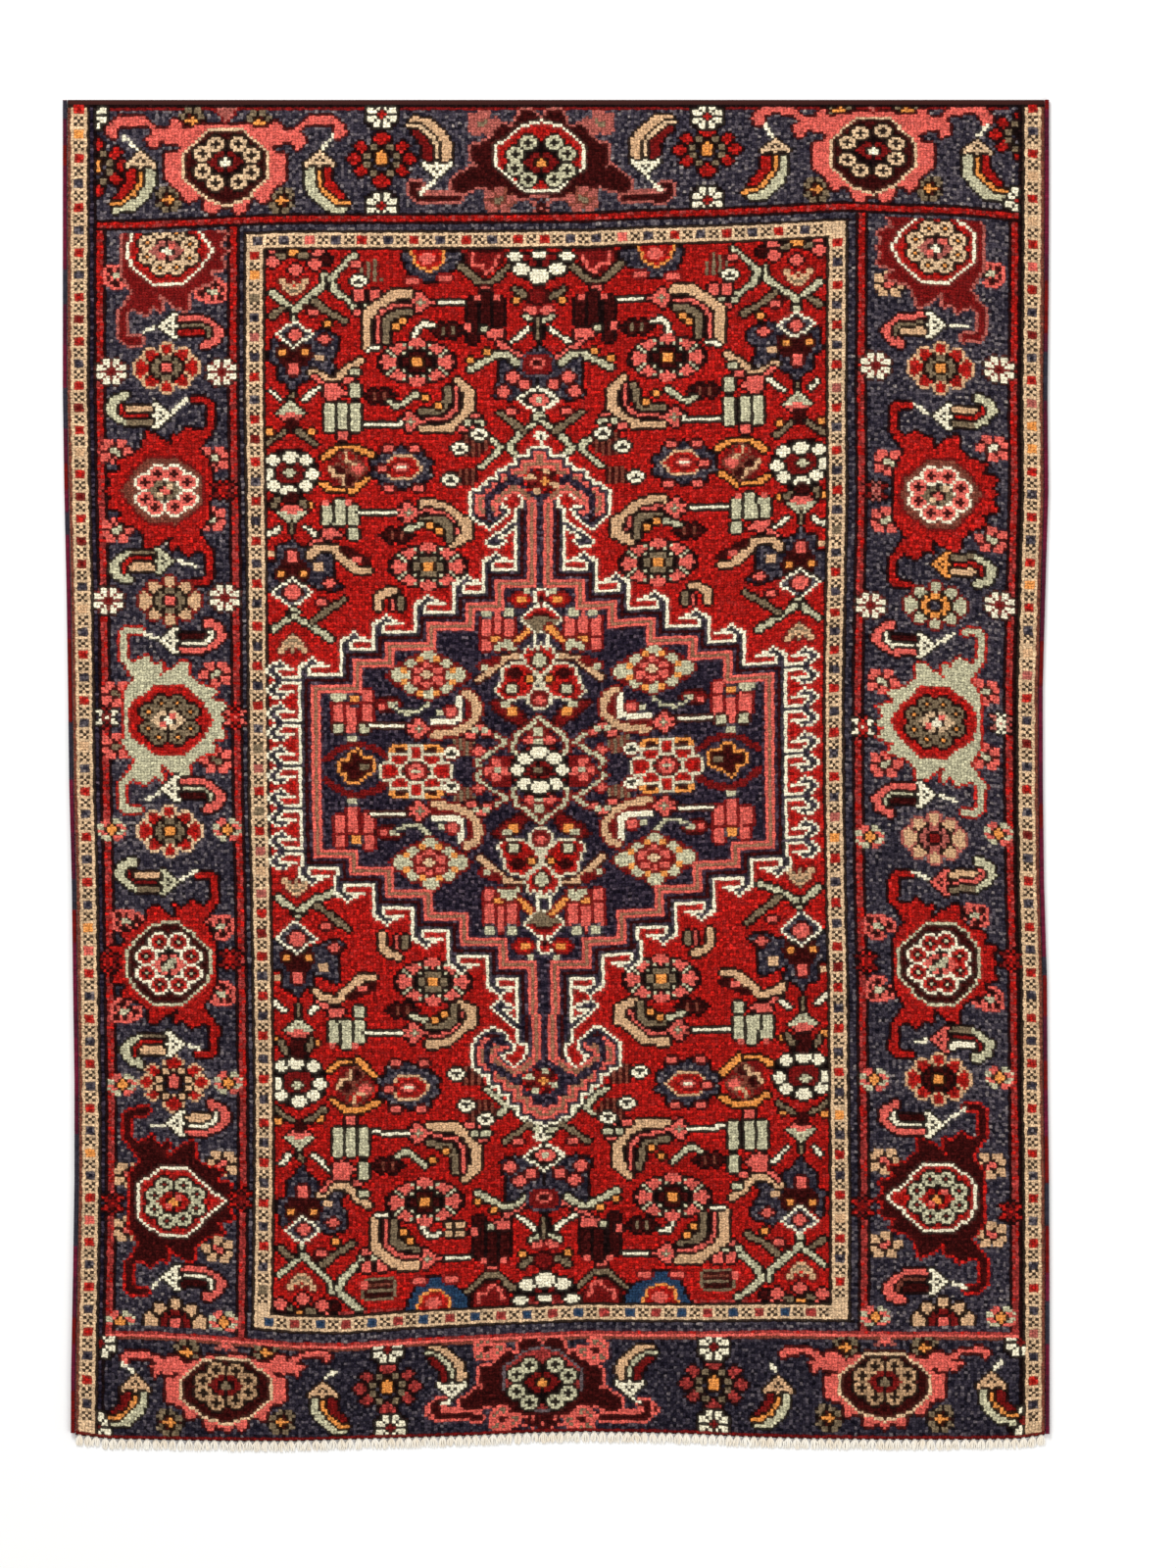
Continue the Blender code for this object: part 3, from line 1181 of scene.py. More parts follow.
# Strokes in the medallion's two ends
CURL_STROKES = """
line s 2.6 507,513 514,504 524,498 533,501 541,508
line j 1 507,513 514,504 524,498 533,501 541,508
line s 2.6 504,1080 513,1089 524,1094 534,1090 542,1083
line j 1 504,1080 513,1089 524,1094 534,1090 542,1083
line d 2 520,492 512,497 503,503 498,511 498,522 503,528
fill d 516,486 526,484 536,494 551.5,500 551.5,516 546,509 534,498 522,493
line d 2 512,1063 503,1061 498,1067 498,1080
line d 2 501,1086 510,1092 520,1098
fill d 514,1095 524,1099 535,1094 543,1087 551.5,1082 551.5,1128 543,1128 543,1118 533,1118
 533,1108 523,1108 520,1100
"""
# The flowers inside the medallion, from its side to its middle
BODY_FLOWERS = """
bar s/R 341,351,705,740 355,365,714,747 369,379,704,741
dot a/b 3x3 361,714
@head dot e/b 5x5 345,710
@head dot e/m 3x3 347,745 371,744
dot e/b 3x2 359,753
line R 1 341,719 349,719
line R 1 356,719 364,719
line R 1 370,719 378,719
line w/m 1 379,741 414,741
dot R/m 8x4 396,720
dot s 2x2 390,721
dot e 3x2 402,720
line e/d 1 405,724 414,728 426,727 437,719
star -/m 430,743
line R 1.6 332,776 347,764 363,758 382,763 402,778
# striped leaf, its bend towards the middle
line w/d 2 470,712 470,734 462,735 441,735
line R 1.6 477,708 478,736 468,742 441,742
line t/R 2.2 474,707 482,711 487,720 486,731 478,741 462,748 443,750
dot e 2x2 448,727
dot s/R 3x3 460,725
# the sage and orange rosette
fill R 431,665 443,665 460,672 474,681 482,690 473,699 459,707 443,714 431,714 415,707 402,699
 392,690 401,681 414,672
petals e/R 437,689 0,-20,5,4 -18,-12,4,4 18,-12,4,4 -29,1,6,5 29,1,6,5 -18,12,4,4 18,12,4,4 0,19,5,4
petals a 437,689 -9,-16,2,2 9,-16,2,2 -25,-6,2,2 25,-6,2,2 -9,17,2,2 9,17,2,2 -25,8,2,2 25,8,2,2
petals s/R 437,689 0,-9,4,3 -11,-4,3,3 11,-4,3,3 -11,5,3,3 11,5,3,3 0,9,4,3
dot c/R 4x3 437,689
# the upright block
bar s/R 491,500,630,664 504,513,624,650 516,525,630,650
dot e/b 3x3 497,626 518,626
line R 1 491,651 500,651
dot a/R 3x2 506,653
fill e/R 509,655 521,652 526,660 526,666 518,662 504,663
line t/m 1.6 533,670 515,671 503,682 488,694
line R 3 491,680 506,674
dot e 2x2 493,681
line a/R 1.3 527,654 541,641
# the red palmette round the middle
fill r/l 551.5,655 543,664 537,660 535,672 541,680 551.5,689
dot e/m 4x5 551.5,673
fill r/l 533,677 516,681 512,697 507,706 515,713 535,711 545,700 547,690
dot m 5x4 525,688
dot e/m 3x3 522,704
dot a/m 2x2 540,692
fill e 540,705 549,700 549,713 540,715
line l 1 551.5,691 545,701 544,713 551.5,724
dot R/l 6x6 551.5,714
dot s 4x3 551.5,714
# the bud above it
@left bud - 551.5,630
dot r/R 6x4 530,611
dot a 3x2 533,613
dot e 2x2 537,602
# a dark leaf, and small flowers
fill R/m 500,717 514,716 528,723 536,734 535,741 524,737 511,729
dot a 3x3 523,725
dot e 3x2 516,720
dot s/m 3x2 480,750 489,741 498,749
dot e 2x2 484,746 494,746
dot s/R 4x3 541,754
dot e/R 3x3 551.5,747
dot e 3x2 551.5,758
hatch n/o 461,754 484,756 482,770 464,770
dot s/R 4x3 489,768
eye -/R 459,769
line e/R 1 551.5,731 545,737 526,751 523,765 531,772
line e/R 1 505,749 516,757 502,767 486,778 492,788
"""
# The flowers on its cross line
CROSS_LINE = """
line R 1.4 332,776 347,765 363,759 382,764 402,777
line R 1.4 332,794 347,805 363,811 382,806 402,793
fill m/a 347,777 358,777 359,769 366,766 370,773 380,774 381,788 372,791 362,799 356,798 355,790
 348,788
dot o 3x2 372,783
boxed_rosette wl 425,787
fill R/d 503,770 522,770 530,786 522,802 503,802 494,786
dot s/R 3x3 508,779 500,786 508,793 516,786
dot e 2x2 508,786
fill R/k 536,764 551.5,762 551.5,812 536,809 525,798 525,777
petals w/k 551.5,786 0,-17,6,4 -16,-11,5,4 -22,1,4,4 -16,13,5,4 0,18,6,4
dot m 8x3 551.5,786
dot o 3x2 551.5,786
"""
# The flowers in its two ends, and its tips
PENDANTS = """
pinwheel - 551,490
pinwheel te 552,1103
tip - 551.5,448
tip.v - 552.5,1156
"""


def halves():
    return Pen(), Pen(mirror=True, widening=BODY_WIDENING)


def union(outline, make=polygon_mask, whole_knots=False):
    """The knots of a shape on the left and of its mirror image on the right."""
    mask = np.zeros(knots.shape, bool)
    for pen in halves():
        places = pen.place(outline)
        if whole_knots:
            (side, _), = pen.place([BODY_SIDE])
            places = [(round(side if x == BODY_SIDE[0] else c), round(r))
                      for (x, _), (c, r) in zip(outline, places)]
        mask |= make(places)
    return mask


def hooks():
    """A hook on each step of the outline, and pairs of them along its sides."""
    for pen in halves():
        way = -1 if pen.mirror else 1
        for steps, foot in ((HEAD_STEPS, False), (FOOT_STEPS, True)):
            hook = [row[::way] for row in CHARTS["step_hook"]][::-1 if foot else 1]
            for step in steps[3:-2:2]:
                (column, row), = pen.place([step])
                column = round(column) - (10 if pen.mirror else 1)
                put(hook, column, round(row) + (0 if foot else -7), True)
        for y in (693.5, 737.2, 781, 824.7, 868.4):
            (_, row), (column, _) = pen.place([(BODY_SIDE[0], y), BODY_SIDE])
            column = round(column) + (0 if pen.mirror else -11)
            put([line[::way] for line in CHARTS["side_hooks"]], column, int(row) - 7, True)


def medallion():
    """The medallion, its outline, hooks and bands. Gives back its inner ground."""
    whole = np.zeros(knots.shape, bool)
    for steps, curl in ((HEAD_STEPS, HEAD_CURL), (FOOT_STEPS, FOOT_CURL)):
        whole |= union(steps, whole_knots=True) | union(curl)
    barbs = np.zeros(knots.shape, bool)
    for line, barb in BARBS:
        barbs |= union(read_places(line), lambda path: line_mask(path, 1))
        barbs |= union(read_places(barb))
    paint(grow(whole | barbs), "w")
    paint(whole | barbs, "d")
    hooks()
    # the bands follow the outline inwards, one knot each
    layer, depth = whole.copy(), np.zeros(knots.shape, int)
    while layer.any():
        depth += layer
        inner = layer.copy()
        inner[1:] &= layer[:-1]
        inner[:-1] &= layer[1:]
        tall = inner.copy()
        inner[:, 1:] &= tall[:, :-1]
        inner[:, :-1] &= tall[:, 1:]
        layer = inner
    pen, right_pen = halves()
    (_, head), (_, foot) = pen.place([(551, 528), (551, 1058)])
    ends = np.zeros(knots.shape, bool)
    ends[:round(head)] = ends[round(foot):] = True
    ground = whole.copy()
    for zone, bands in ((ends, CURL_BANDS), (~ends, BODY_BANDS)):
        for number, letter in enumerate(bands, 1):
            paint(whole & zone & (depth == number), letter)
            ground &= ~(zone & (depth == number))
    paint(ground, "d")
    # the bands run straight through the neck, and dark blue winds through the curls
    ((left, _),), ((right, _),) = pen.place([(528, 540)]), right_pen.place([(528, 540)])
    left, right = round(left), round(right)
    for top, bottom in ((508, 548), (1036, 1080)):
        (_, first), (_, last) = pen.place([(551, top), (551, bottom)])
        neck = np.zeros(knots.shape, bool)
        neck[round(first):round(last), left:right] = True
        neck &= whole
        paint(neck, "d")
        for number, letter in enumerate(BODY_BANDS):
            band = np.zeros(knots.shape, bool)
            band[:, [left + number, right - 1 - number]] = True
            paint(neck & band, letter)
    for half in (pen, right_pen):
        draw(half, CURL_STROKES)
    return ground


def field():
    clip_to(FIELD)
    for pen in quarters(EDGE_FOLD):
        draw(pen, FIELD_SIDE)
    for pen in quarters(FOLD):
        draw(pen, FIELD_FLOWERS)
    ground = medallion()
    draw(Pen(), PENDANTS)
    # the navy of the last rows is a bluer dye lot
    (left, right), (_, foot) = FIELD
    last = knots[404:foot, left:right]
    last[last == CODES["b"]] = CODES["u"]
    clip[:] = ground
    for pen in quarters(FOLD, BODY_WIDENING):
        draw(pen, BODY_FLOWERS)
    for pen in halves():
        draw(pen, CROSS_LINE)
    clip[:] = True


stripes()
guards()
border()
head_band()
foot_band()
field()


# ---------------------------------------------------------------------------------------
# The knots as meshes
# ---------------------------------------------------------------------------------------
MIDDLE = (53, 241), (43, 431)                  # the columns and rows of the field's pieces
PILE_TOP = 0.0093
PILE_BASE = 0.0030
MARGIN = 0.0002                                # from the back, and the floor, to the resting plane


def to_linear(rgb):
    rgb = np.asarray(rgb, float) / 255
    return np.where(rgb <= 0.04045, rgb / 12.92, ((rgb + 0.055) / 1.055) ** 2.4)


def smooth_noise(count, spacing):
    """A smooth random curve of so many values, about from -1 to 1."""
    spots = np.arange(0, count + spacing, spacing)
    return np.interp(np.arange(count), spots, chance.uniform(-1, 1, len(spots)))


def knot_colours():
    """A linear colour for each knot: the yarn's, with the dye's stripes and the knot's own."""
    table = to_linear([yarn[0] for yarn in YARNS.values()])
    stray = np.array([yarn[1] for yarn in YARNS.values()])[knots]
    dye = np.zeros(knots.shape)
    for letter, strength in (("b", 0.26), ("r", 0.10), ("s", 0.08), ("g", 0.15), ("e", 0.06)):
        slow, quick = smooth_noise(ROWS, 23), smooth_noise(ROWS, 5)
        stripe = (strength * (0.65 * slow + 0.35 * quick))[:, None]
        dye += np.where(knots == CODES[letter], stripe, 0.0)
    # the navy is a lighter dye lot in the head band, and the darkest one in the foot band
    lot = np.interp(np.arange(ROWS), (0, 38, 46, 300, 432, 436), (0.26, 0.22, 0.06, 0.0, 0.0, -0.40))
    # and it has paled along both sides
    pale = np.interp(np.arange(COLUMNS), (10, 30, 44, 250, 262), (0.13, 0.11, 0.0, 0.0, 0.13))
    dye += np.where(knots == CODES["b"], lot[:, None] + pale, 0.0)
    # a knot strays from its neighbours more than a patch does from the next
    own = np.clip(chance.normal(0.0, 1.0, knots.shape), -2.3, 1.3)
    patch = sum(np.roll(own, (down, across), axis=(0, 1))
                for down in (-1, 0, 1) for across in (-1, 0, 1)) / 9
    own = (own - 0.9 * patch) * stray * 1.75
    # runs of a few knots in a row, packed alike
    runs = chance.normal(0.0, 1.0, knots.shape)
    runs = sum(np.roll(runs, shift, axis=1) for shift in range(5)) / 5 ** 0.5
    own += runs * stray * 0.3
    tuft = chance.random(knots.shape)
    own = np.where((tuft > 0.93) & (stray > 0.19), own + 0.12, own)
    # a navy knot strays less in its blue than in its red, so that the pale ones are greyer
    bluish = np.isin(knots, [CODES[letter] for letter in "bdu"])[..., None]
    hue = np.where(bluish, (1.12, 1.13, 0.88), 1.0)
    colours = table[knots] * np.exp((dye + own)[..., None] * hue)
    grey = np.clip(chance.normal(0.0, 0.03, knots.shape), 0, 0.3)[..., None]
    return colours * (1 - grey) + grey * colours.mean(axis=2, keepdims=True)


def add_mesh(name, vertices, faces, material, smooth=False):
    """A mesh object from arrays: its vertices, and its faces of one size."""
    mesh = bpy.data.meshes.new(name)
    vertices = np.asarray(vertices, np.float32)
    faces = np.asarray(faces, np.int32)
    count, corners = faces.shape
    mesh.vertices.add(len(vertices))
    mesh.vertices.foreach_set("co", vertices.ravel())
    mesh.loops.add(count * corners)
    mesh.loops.foreach_set("vertex_index", faces.ravel())
    mesh.polygons.add(count)
    mesh.polygons.foreach_set("loop_start", np.arange(0, count * corners, corners, dtype=np.int32))
    mesh.update(calc_edges=True)
    mesh.validate()
    mesh.polygons.foreach_set("use_smooth", np.full(count, smooth))
    mesh.materials.append(material)
    return add_object(name, mesh)


def add_object(name, data):
    made = bpy.data.objects.new(name, data)
    bpy.context.scene.collection.objects.link(made)
    return made


def corner_colours(mesh, values):
    """The yarn's colour for each face corner."""
    layer = mesh.attributes.new("Yarn", "FLOAT_COLOR", "CORNER")
    full = np.ones((len(values), 4), np.float32)
    full[:, :3] = values
    layer.data.foreach_set("color", full.ravel())


def uv_layer(mesh, name, values):
    layer = mesh.uv_layers.new(name=name)
    layer.uv.foreach_set("vector", np.asarray(values, np.float32).ravel())


def grid_faces(first, wide):
    """The faces whose head left corners are given, on a grid that is so many corners wide."""
    return np.stack([first, first + wide, first + wide + 1, first + 1], axis=1)


def grid_rim(rows, columns):
    """The corners round a grid of faces, from its head left one down."""
    wide = columns + 1
    return np.array([r * wide for r in range(rows)] + [rows * wide + c for c in range(columns)]
                    + [r * wide + columns for r in range(rows, 0, -1)] + list(range(columns, 0, -1)))


def at_corners(values):
    """The mean of the knots that meet at each corner of the grid."""
    padded = np.pad(values, ((1, 1), (1, 1)) + ((0, 0),) * (values.ndim - 2), mode="edge")
    return (padded[:-1, :-1] + padded[1:, :-1] + padded[:-1, 1:] + padded[1:, 1:]) / 4


grid_columns, grid_rows = np.meshgrid(np.arange(COLUMNS + 1.0), np.arange(ROWS + 1.0))
stray_columns = chance.uniform(-0.24, 0.24, grid_columns.shape)
stray_rows = chance.uniform(-0.22, 0.22, grid_columns.shape)
stray_columns[:, (0, -1)] = 0
stray_rows[(0, -1), :] = 0
corner_x, corner_y = knot_place(grid_columns + stray_columns, grid_rows + stray_rows)
colours = knot_colours()


def pile_heights():
    """Height of each corner of the knot grid: clipped wool, lower where dark dye has worn it."""
    wear = np.zeros(knots.shape)
    wear[knots == CODES["k"]] = -0.00055
    wear[knots == CODES["m"]] = -0.00030
    height = PILE_TOP + at_corners(wear) + chance.uniform(-0.00035, 0.00035, grid_columns.shape)
    height += 0.00018 * smooth_noise(ROWS + 1, 9)[:, None]
    edge = np.minimum(np.minimum(grid_columns, COLUMNS - grid_columns) * 1.15,
                      np.minimum(grid_rows, ROWS - grid_rows))
    return height - np.interp(edge, (0, 0.8, 2.0, 3.2), (0.0030, 0.0012, 0.0003, 0))


def knot_piece(name, keep, height, material, flipped=False, skirt=None):
    """A piece of the knot grid: a face for each knot where keep is true."""
    rows_kept, columns_kept = np.nonzero(keep)
    wide = COLUMNS + 1
    faces = grid_faces(rows_kept * wide + columns_kept, wide)
    own = colours[rows_kept, columns_kept]
    shared = at_corners(colours).reshape(-1, 3)
    blend = 0.12
    loops = own[:, None, :] * (1 - blend) + shared[faces] * blend
    knot_uv = np.stack([grid_columns.ravel()[faces], ROWS - grid_rows.ravel()[faces]], axis=2)
    if flipped:
        faces, loops, knot_uv = faces[:, ::-1], loops[:, ::-1], knot_uv[:, ::-1]
    corners = np.stack([corner_x.ravel(), corner_y.ravel(), height.ravel()], axis=1)
    loops = loops.reshape(-1, 3)
    knot_uv = knot_uv.reshape(-1, 2)
    if skirt is not None:                     # the pile's edge, down to the foundation
        rim = grid_rim(ROWS, COLUMNS)
        low = corners[rim].copy()
        low[:, 2] = skirt
        below = len(corners) + np.arange(len(rim))
        corners = np.concatenate([corners, low])
        side = np.stack([rim, below, np.roll(below, -1), np.roll(rim, -1)], axis=1)
        faces = np.concatenate([faces, side])
        r = np.clip(rim // wide, 0, ROWS - 1)
        c = np.clip(rim % wide, 0, COLUMNS - 1)
        # the edge faces get their knot's colour darkened by 0.8: painted shade on the pile's sides
        loops = np.concatenate([loops, np.repeat(colours[r, c] * 0.8, 4, axis=0)])
        side_uv = np.tile(np.array([[0, 1], [0, -1], [1, -1], [1, 1]], float), (len(rim), 1))
        knot_uv = np.concatenate([knot_uv, side_uv + np.repeat(np.arange(len(rim)), 4)[:, None]])
    used, compact = np.unique(faces, return_inverse=True)
    piece = add_mesh(name, corners[used], compact.reshape(faces.shape), material)
    corner_colours(piece.data, loops)
    flat = corners[faces.ravel()][:, :2]
    uv_layer(piece.data, "OFBake", (flat - flat.min(axis=0)) / (flat.max(axis=0) - flat.min(axis=0)))
    uv_layer(piece.data, "Knot", knot_uv)
    return piece


# ---------------------------------------------------------------------------------------
# Materials
# ---------------------------------------------------------------------------------------
class Look:
    """A material, with short ways to add nodes to it."""

    def __init__(self, name, roughness, sheen=0.0):
        self.material = bpy.data.materials.new(name)
        self.material.use_nodes = True
        self.tree = self.material.node_tree
        self.shader = self.tree.nodes["Principled BSDF"]
        self.feed(self.shader, {"Roughness": roughness, "Specular IOR Level": 0.03})
        if sheen:
            self.feed(self.shader, {"Sheen Weight": sheen, "Sheen Roughness": 0.6})

    def feed(self, node, inputs):
        """Each input gets a number or a colour, or another node's output."""
        for socket, value in inputs.items():
            if isinstance(value, bpy.types.NodeSocket):
                self.tree.links.new(value, node.inputs[socket])
            else:
                node.inputs[socket].default_value = value

    def node(self, kind, output, inputs=None, **settings):
        """A new node's output, by its name."""
        made = self.tree.nodes.new("ShaderNode" + kind)
        for name, value in settings.items():
            setattr(made, name, value)
        self.feed(made, inputs or {})
        return made.outputs[output]

    def place(self):
        return self.node("TexCoord", "Object")

    def axis(self, name, vector):
        return self.node("SeparateXYZ", name, {"Vector": vector})

    def knot_axis(self, name):
        return self.axis(name, self.node("UVMap", "UV", uv_map="Knot"))

    def yarn(self):
        return self.node("Attribute", "Color", attribute_name="Yarn")

    def noise(self, scale, stretch=(1, 1, 1), detail=3.0):
        stretched = self.node("Mapping", "Vector", {"Scale": stretch, "Vector": self.place()})
        return self.node("TexNoise", "Fac", {"Scale": scale, "Detail": detail, "Vector": stretched})

    def spread(self, value, low, high):
        """The value's middle range, laid from low to high."""
        return self.node("MapRange", "Result", {"From Min": 0.3, "From Max": 0.7, "To Min": low,
                                                "To Max": high, "Value": value})

    def maths(self, operation, *values):
        return self.node("Math", "Value", dict(enumerate(values)), operation=operation)

    def wave(self, value, times, power):
        """How far a sine of the value is from zero, rounded by a power."""
        sine = self.maths("SINE", self.maths("MULTIPLY", value, times))
        return self.maths("POWER", self.maths("ABSOLUTE", sine), power)

    def mix(self, factor, first, second):
        return self.node("Mix", "Result", {"A": first, "B": second, "Factor": factor}, data_type="RGBA")

    def tinted(self, colour, factor):
        return self.node("VectorMath", "Vector", {0: colour, "Scale": factor}, operation="SCALE")

    def finish(self, colour, height, strength, distance):
        """Give the shader its colour and its bump. Gives back the material."""
        normal = self.node("Bump", "Normal", {"Strength": strength, "Distance": distance,
                                              "Height": height})
        self.feed(self.shader, {"Base Color": colour, "Normal": normal})
        return self.material


def pile_material():
    """Clipped wool: each knot a tuft of fibres that lean towards the foot, its colour darkened towards
    the knot's edges as painted shade in the gaps between knots.
    """
    look = Look("pile_wool", 0.98, 0.008)
    streak = look.spread(look.noise(520, (0.75, 0.9, 1.0), 5.0), 0.35, 1.65)
    fluff = look.spread(look.noise(1700, (1.0, 0.6, 1.0), 2.0), 0.84, 1.16)
    cloud = look.spread(look.noise(14, (1.0, 1.6, 1.0)), 0.92, 1.08)
    tuft = look.maths("MULTIPLY", *[look.wave(look.knot_axis(axis), math.pi, 0.45) for axis in "XY"])
    factor = look.maths("MULTIPLY", look.maths("MULTIPLY", streak, fluff), cloud)
    # the tuft profile darkens each knot's colour towards its edges: painted shade in the gaps between
    # knots
    factor = look.maths("MULTIPLY", factor, look.maths("MULTIPLY_ADD", tuft, 0.48, 0.56))
    height = look.maths("ADD", tuft, look.maths("MULTIPLY", streak, 0.9))
    height = look.maths("ADD", height, look.maths("MULTIPLY", fluff, 0.5))
    return look.finish(look.tinted(look.yarn(), factor), height, 0.7, 0.0012)


def back_material():
    """The knots from behind: two small nodes side by side, darker between them as painted shade, and
    wefts between the rows.
    """
    look = Look("back_wool", 0.9)
    fluff = look.spread(look.noise(900), 0.80, 1.20)
    across = look.wave(look.knot_axis("X"), 2 * math.pi, 0.5)
    along = look.wave(look.knot_axis("Y"), math.pi, 0.8)
    # darker in the dip between the two nodes of each knot: painted shade
    factor = look.maths("MULTIPLY", fluff, look.maths("MULTIPLY_ADD", across, 0.35, 0.70))
    wool = look.tinted(look.yarn(), factor)
    knot = look.node("MapRange", "Result", {"From Min": 0.25, "From Max": 0.55, "Value": along})
    weft = (0.36, 0.29, 0.22, 1)
    height = look.maths("MULTIPLY", across, along)
    return look.finish(look.mix(knot, weft, wool), height, 0.8, 0.0008)


def cotton_material(name, colour, dark):
    """Undyed cotton, dulled by age, its fibres a fine bump."""
    look = Look(name, 0.94, 0.02)
    grime = look.spread(look.noise(45, detail=4.0), 0.0, 1.0)
    fluff = look.noise(1500)
    cotton = look.mix(grime, (*to_linear(colour), 1), (*to_linear(dark), 1))
    return look.finish(look.tinted(cotton, look.spread(fluff, 0.92, 1.08)), fluff, 0.5, 0.0006)


def web_material():
    """Plain weave: wefts over and under the warps, darker where the threads dip as painted shade."""
    look = Look("web_cotton", 0.92)
    place = look.place()
    warp = look.maths("SINE", look.maths("MULTIPLY", look.axis("X", place), math.pi / 0.0021))
    weft = look.maths("SINE", look.maths("MULTIPLY", look.axis("Y", place), math.pi / 0.0013))
    weave = look.maths("ABSOLUTE", look.maths("MULTIPLY", warp, weft))
    weave = look.maths("POWER", weave, 0.5)
    fluff = look.spread(look.noise(1300), 0.88, 1.08)
    # the weave darkens the colour where the threads dip under each other: painted shade
    factor = look.maths("MULTIPLY", look.maths("MULTIPLY_ADD", weave, 0.35, 0.66), fluff)
    return look.finish(look.tinted(tuple(to_linear((70, 38, 34))), factor), weave, 0.7, 0.0006)


def cord_material():
    """Wool yarn wound round the side cord; the yarn's colour, with painted shade in the grooves between
    wraps, is in its wraps.
    """
    look = Look("cord_wool", 0.95, 0.02)
    fluff = look.noise(1200, (0.35, 1.0, 1.0))
    wool = look.tinted(look.yarn(), look.spread(fluff, 0.74, 1.26))
    return look.finish(wool, fluff, 0.6, 0.0007)


# ---------------------------------------------------------------------------------------
# Pieces
# ---------------------------------------------------------------------------------------
def foundation(material):
    """The woven foundation, a thin closed slab that runs on past the pile at both ends."""
    across, along = 90, 120
    u, v = np.meshgrid(np.linspace(0, 1, across + 1), np.linspace(0, 1, along + 1))
    x = (u - 0.5) * RUG_WIDTH
    y = HEAD_Y + (foot_y(x) - STRIP_DEPTH - HEAD_Y) * v
    for _ in range(2):
        x = pile_side_x(y, -1) + (pile_side_x(y, 1) - pile_side_x(y, -1)) * u
        y = HEAD_Y + (foot_y(x) - STRIP_DEPTH - HEAD_Y) * v
    y = np.where(v == 0, HEAD_Y, y)
    top = np.stack([x.ravel(), y.ravel(), np.full(x.size, WEB_THICKNESS)], axis=1)
    bottom = top.copy()
    bottom[:, 2] = MARGIN * 2
    wide = across + 1
    upper = grid_faces((np.arange(along)[:, None] * wide + np.arange(across)).ravel(), wide)
    lower = upper[:, ::-1] + len(top)
    edge = grid_rim(along, across)
    after = np.roll(edge, -1)
    rim = np.stack([edge, edge + len(top), after + len(top), after], axis=1)
    return add_mesh("foundation", np.concatenate([top, bottom]),
                    np.concatenate([upper, lower, rim]), material)


def tube_faces(rings, around):
    """The faces of a tube of so many rings of points."""
    start = np.arange(rings - 1)[:, None] * around
    first = (start + np.arange(around)).ravel()
    after = (start + (np.arange(around) + 1) % around).ravel()
    return np.stack([first, after, after + around, first + around], axis=1)


def selvedge(name, side, material):
    """Wool wound round the side cord: wraps that lie close, each a little slanted, their colour darker
    in the grooves between wraps as painted shade.
    """
    pitch, per_wrap, around = 0.0027, 4, 10
    squareness = 0.80
    low = float(foot_y(np.array(side * 0.645)))
    count = int((HEAD_Y - low) / pitch)
    y = np.linspace(low, HEAD_Y, count * per_wrap + 1)
    phase = np.arange(len(y)) / per_wrap
    ridge = np.abs(np.sin(np.pi * phase)) ** 0.6
    wrap = np.minimum(phase.astype(int), count - 1)
    fat = chance.uniform(0.86, 1.0, count)[wrap]
    angle = np.arange(around) * 2 * np.pi / around
    half_width = CORD_WIDTH / 2 * (0.80 + 0.20 * ridge * fat)
    half_height = CORD_HEIGHT / 2 * (0.82 + 0.18 * ridge * fat)
    out, up = [np.sign(turn) * np.abs(turn) ** squareness for turn in (np.cos(angle), np.sin(angle))]
    x = side_x(y, side, CORD_WIDTH / 2)[:, None] + half_width[:, None] * out
    z = CORD_HEIGHT / 2 + half_height[:, None] * up
    slanted = np.clip(y[:, None] + 0.0011 * np.sin(angle) * side, low, HEAD_Y)
    ends = []
    for start in (0, (len(y) - 1) * around):
        for k in range(1, around // 2):
            quad = [start + k - 1, start + k, start + around - k - 1, start + around - k]
            ends.append(quad if start else quad[::-1])
    faces = np.concatenate([tube_faces(len(y), around), np.array(ends)])
    piece = add_mesh(name, np.stack([x, slanted, z], axis=2).reshape(-1, 3), faces, material,
                     smooth=True)
    shades = to_linear([PLUM, YARNS["b"][0], YARNS["R"][0], DARK_PLUM])
    kind = np.zeros(count, int)
    run = 0
    while run < count:
        length = int(chance.integers(3, 30))
        kind[run:run + length] = chance.choice([0, 0, 0, 3, 3, 1, 2])
        run += length
    shade = shades[kind] * np.exp(chance.normal(0, 0.16, count))[:, None]
    face_wrap = np.concatenate([wrap[:-1].repeat(around), np.zeros(len(ends), int)])
    face_ridge = np.concatenate([((ridge[:-1] + ridge[1:]) / 2).repeat(around), np.ones(len(ends))])
    # each wrap's dye darkened towards the grooves between wraps: painted shade
    lit = shade[face_wrap] * (0.55 + 0.45 * face_ridge)[:, None]
    corner_colours(piece.data, np.repeat(lit, 4, axis=0))
    return piece


def strand_tube(path, radius, sides=6):
    """A thin strand's points and faces along a path, its radius given for each point."""
    path = np.asarray(path)
    along = np.gradient(path, axis=0)
    along /= np.linalg.norm(along, axis=1, keepdims=True)
    across = np.cross(along, np.array([0.0, 0.0, 1.0]))
    across /= np.linalg.norm(across, axis=1, keepdims=True)
    lift = np.cross(across, along)
    angle = (np.arange(sides) * 2 * np.pi / sides)[None, :, None]
    ring = np.cos(angle) * across[:, None] + np.sin(angle) * lift[:, None]
    skin = (path[:, None] + ring * np.asarray(radius)[:, None, None]).reshape(-1, 3)
    return skin, tube_faces(len(path), sides)


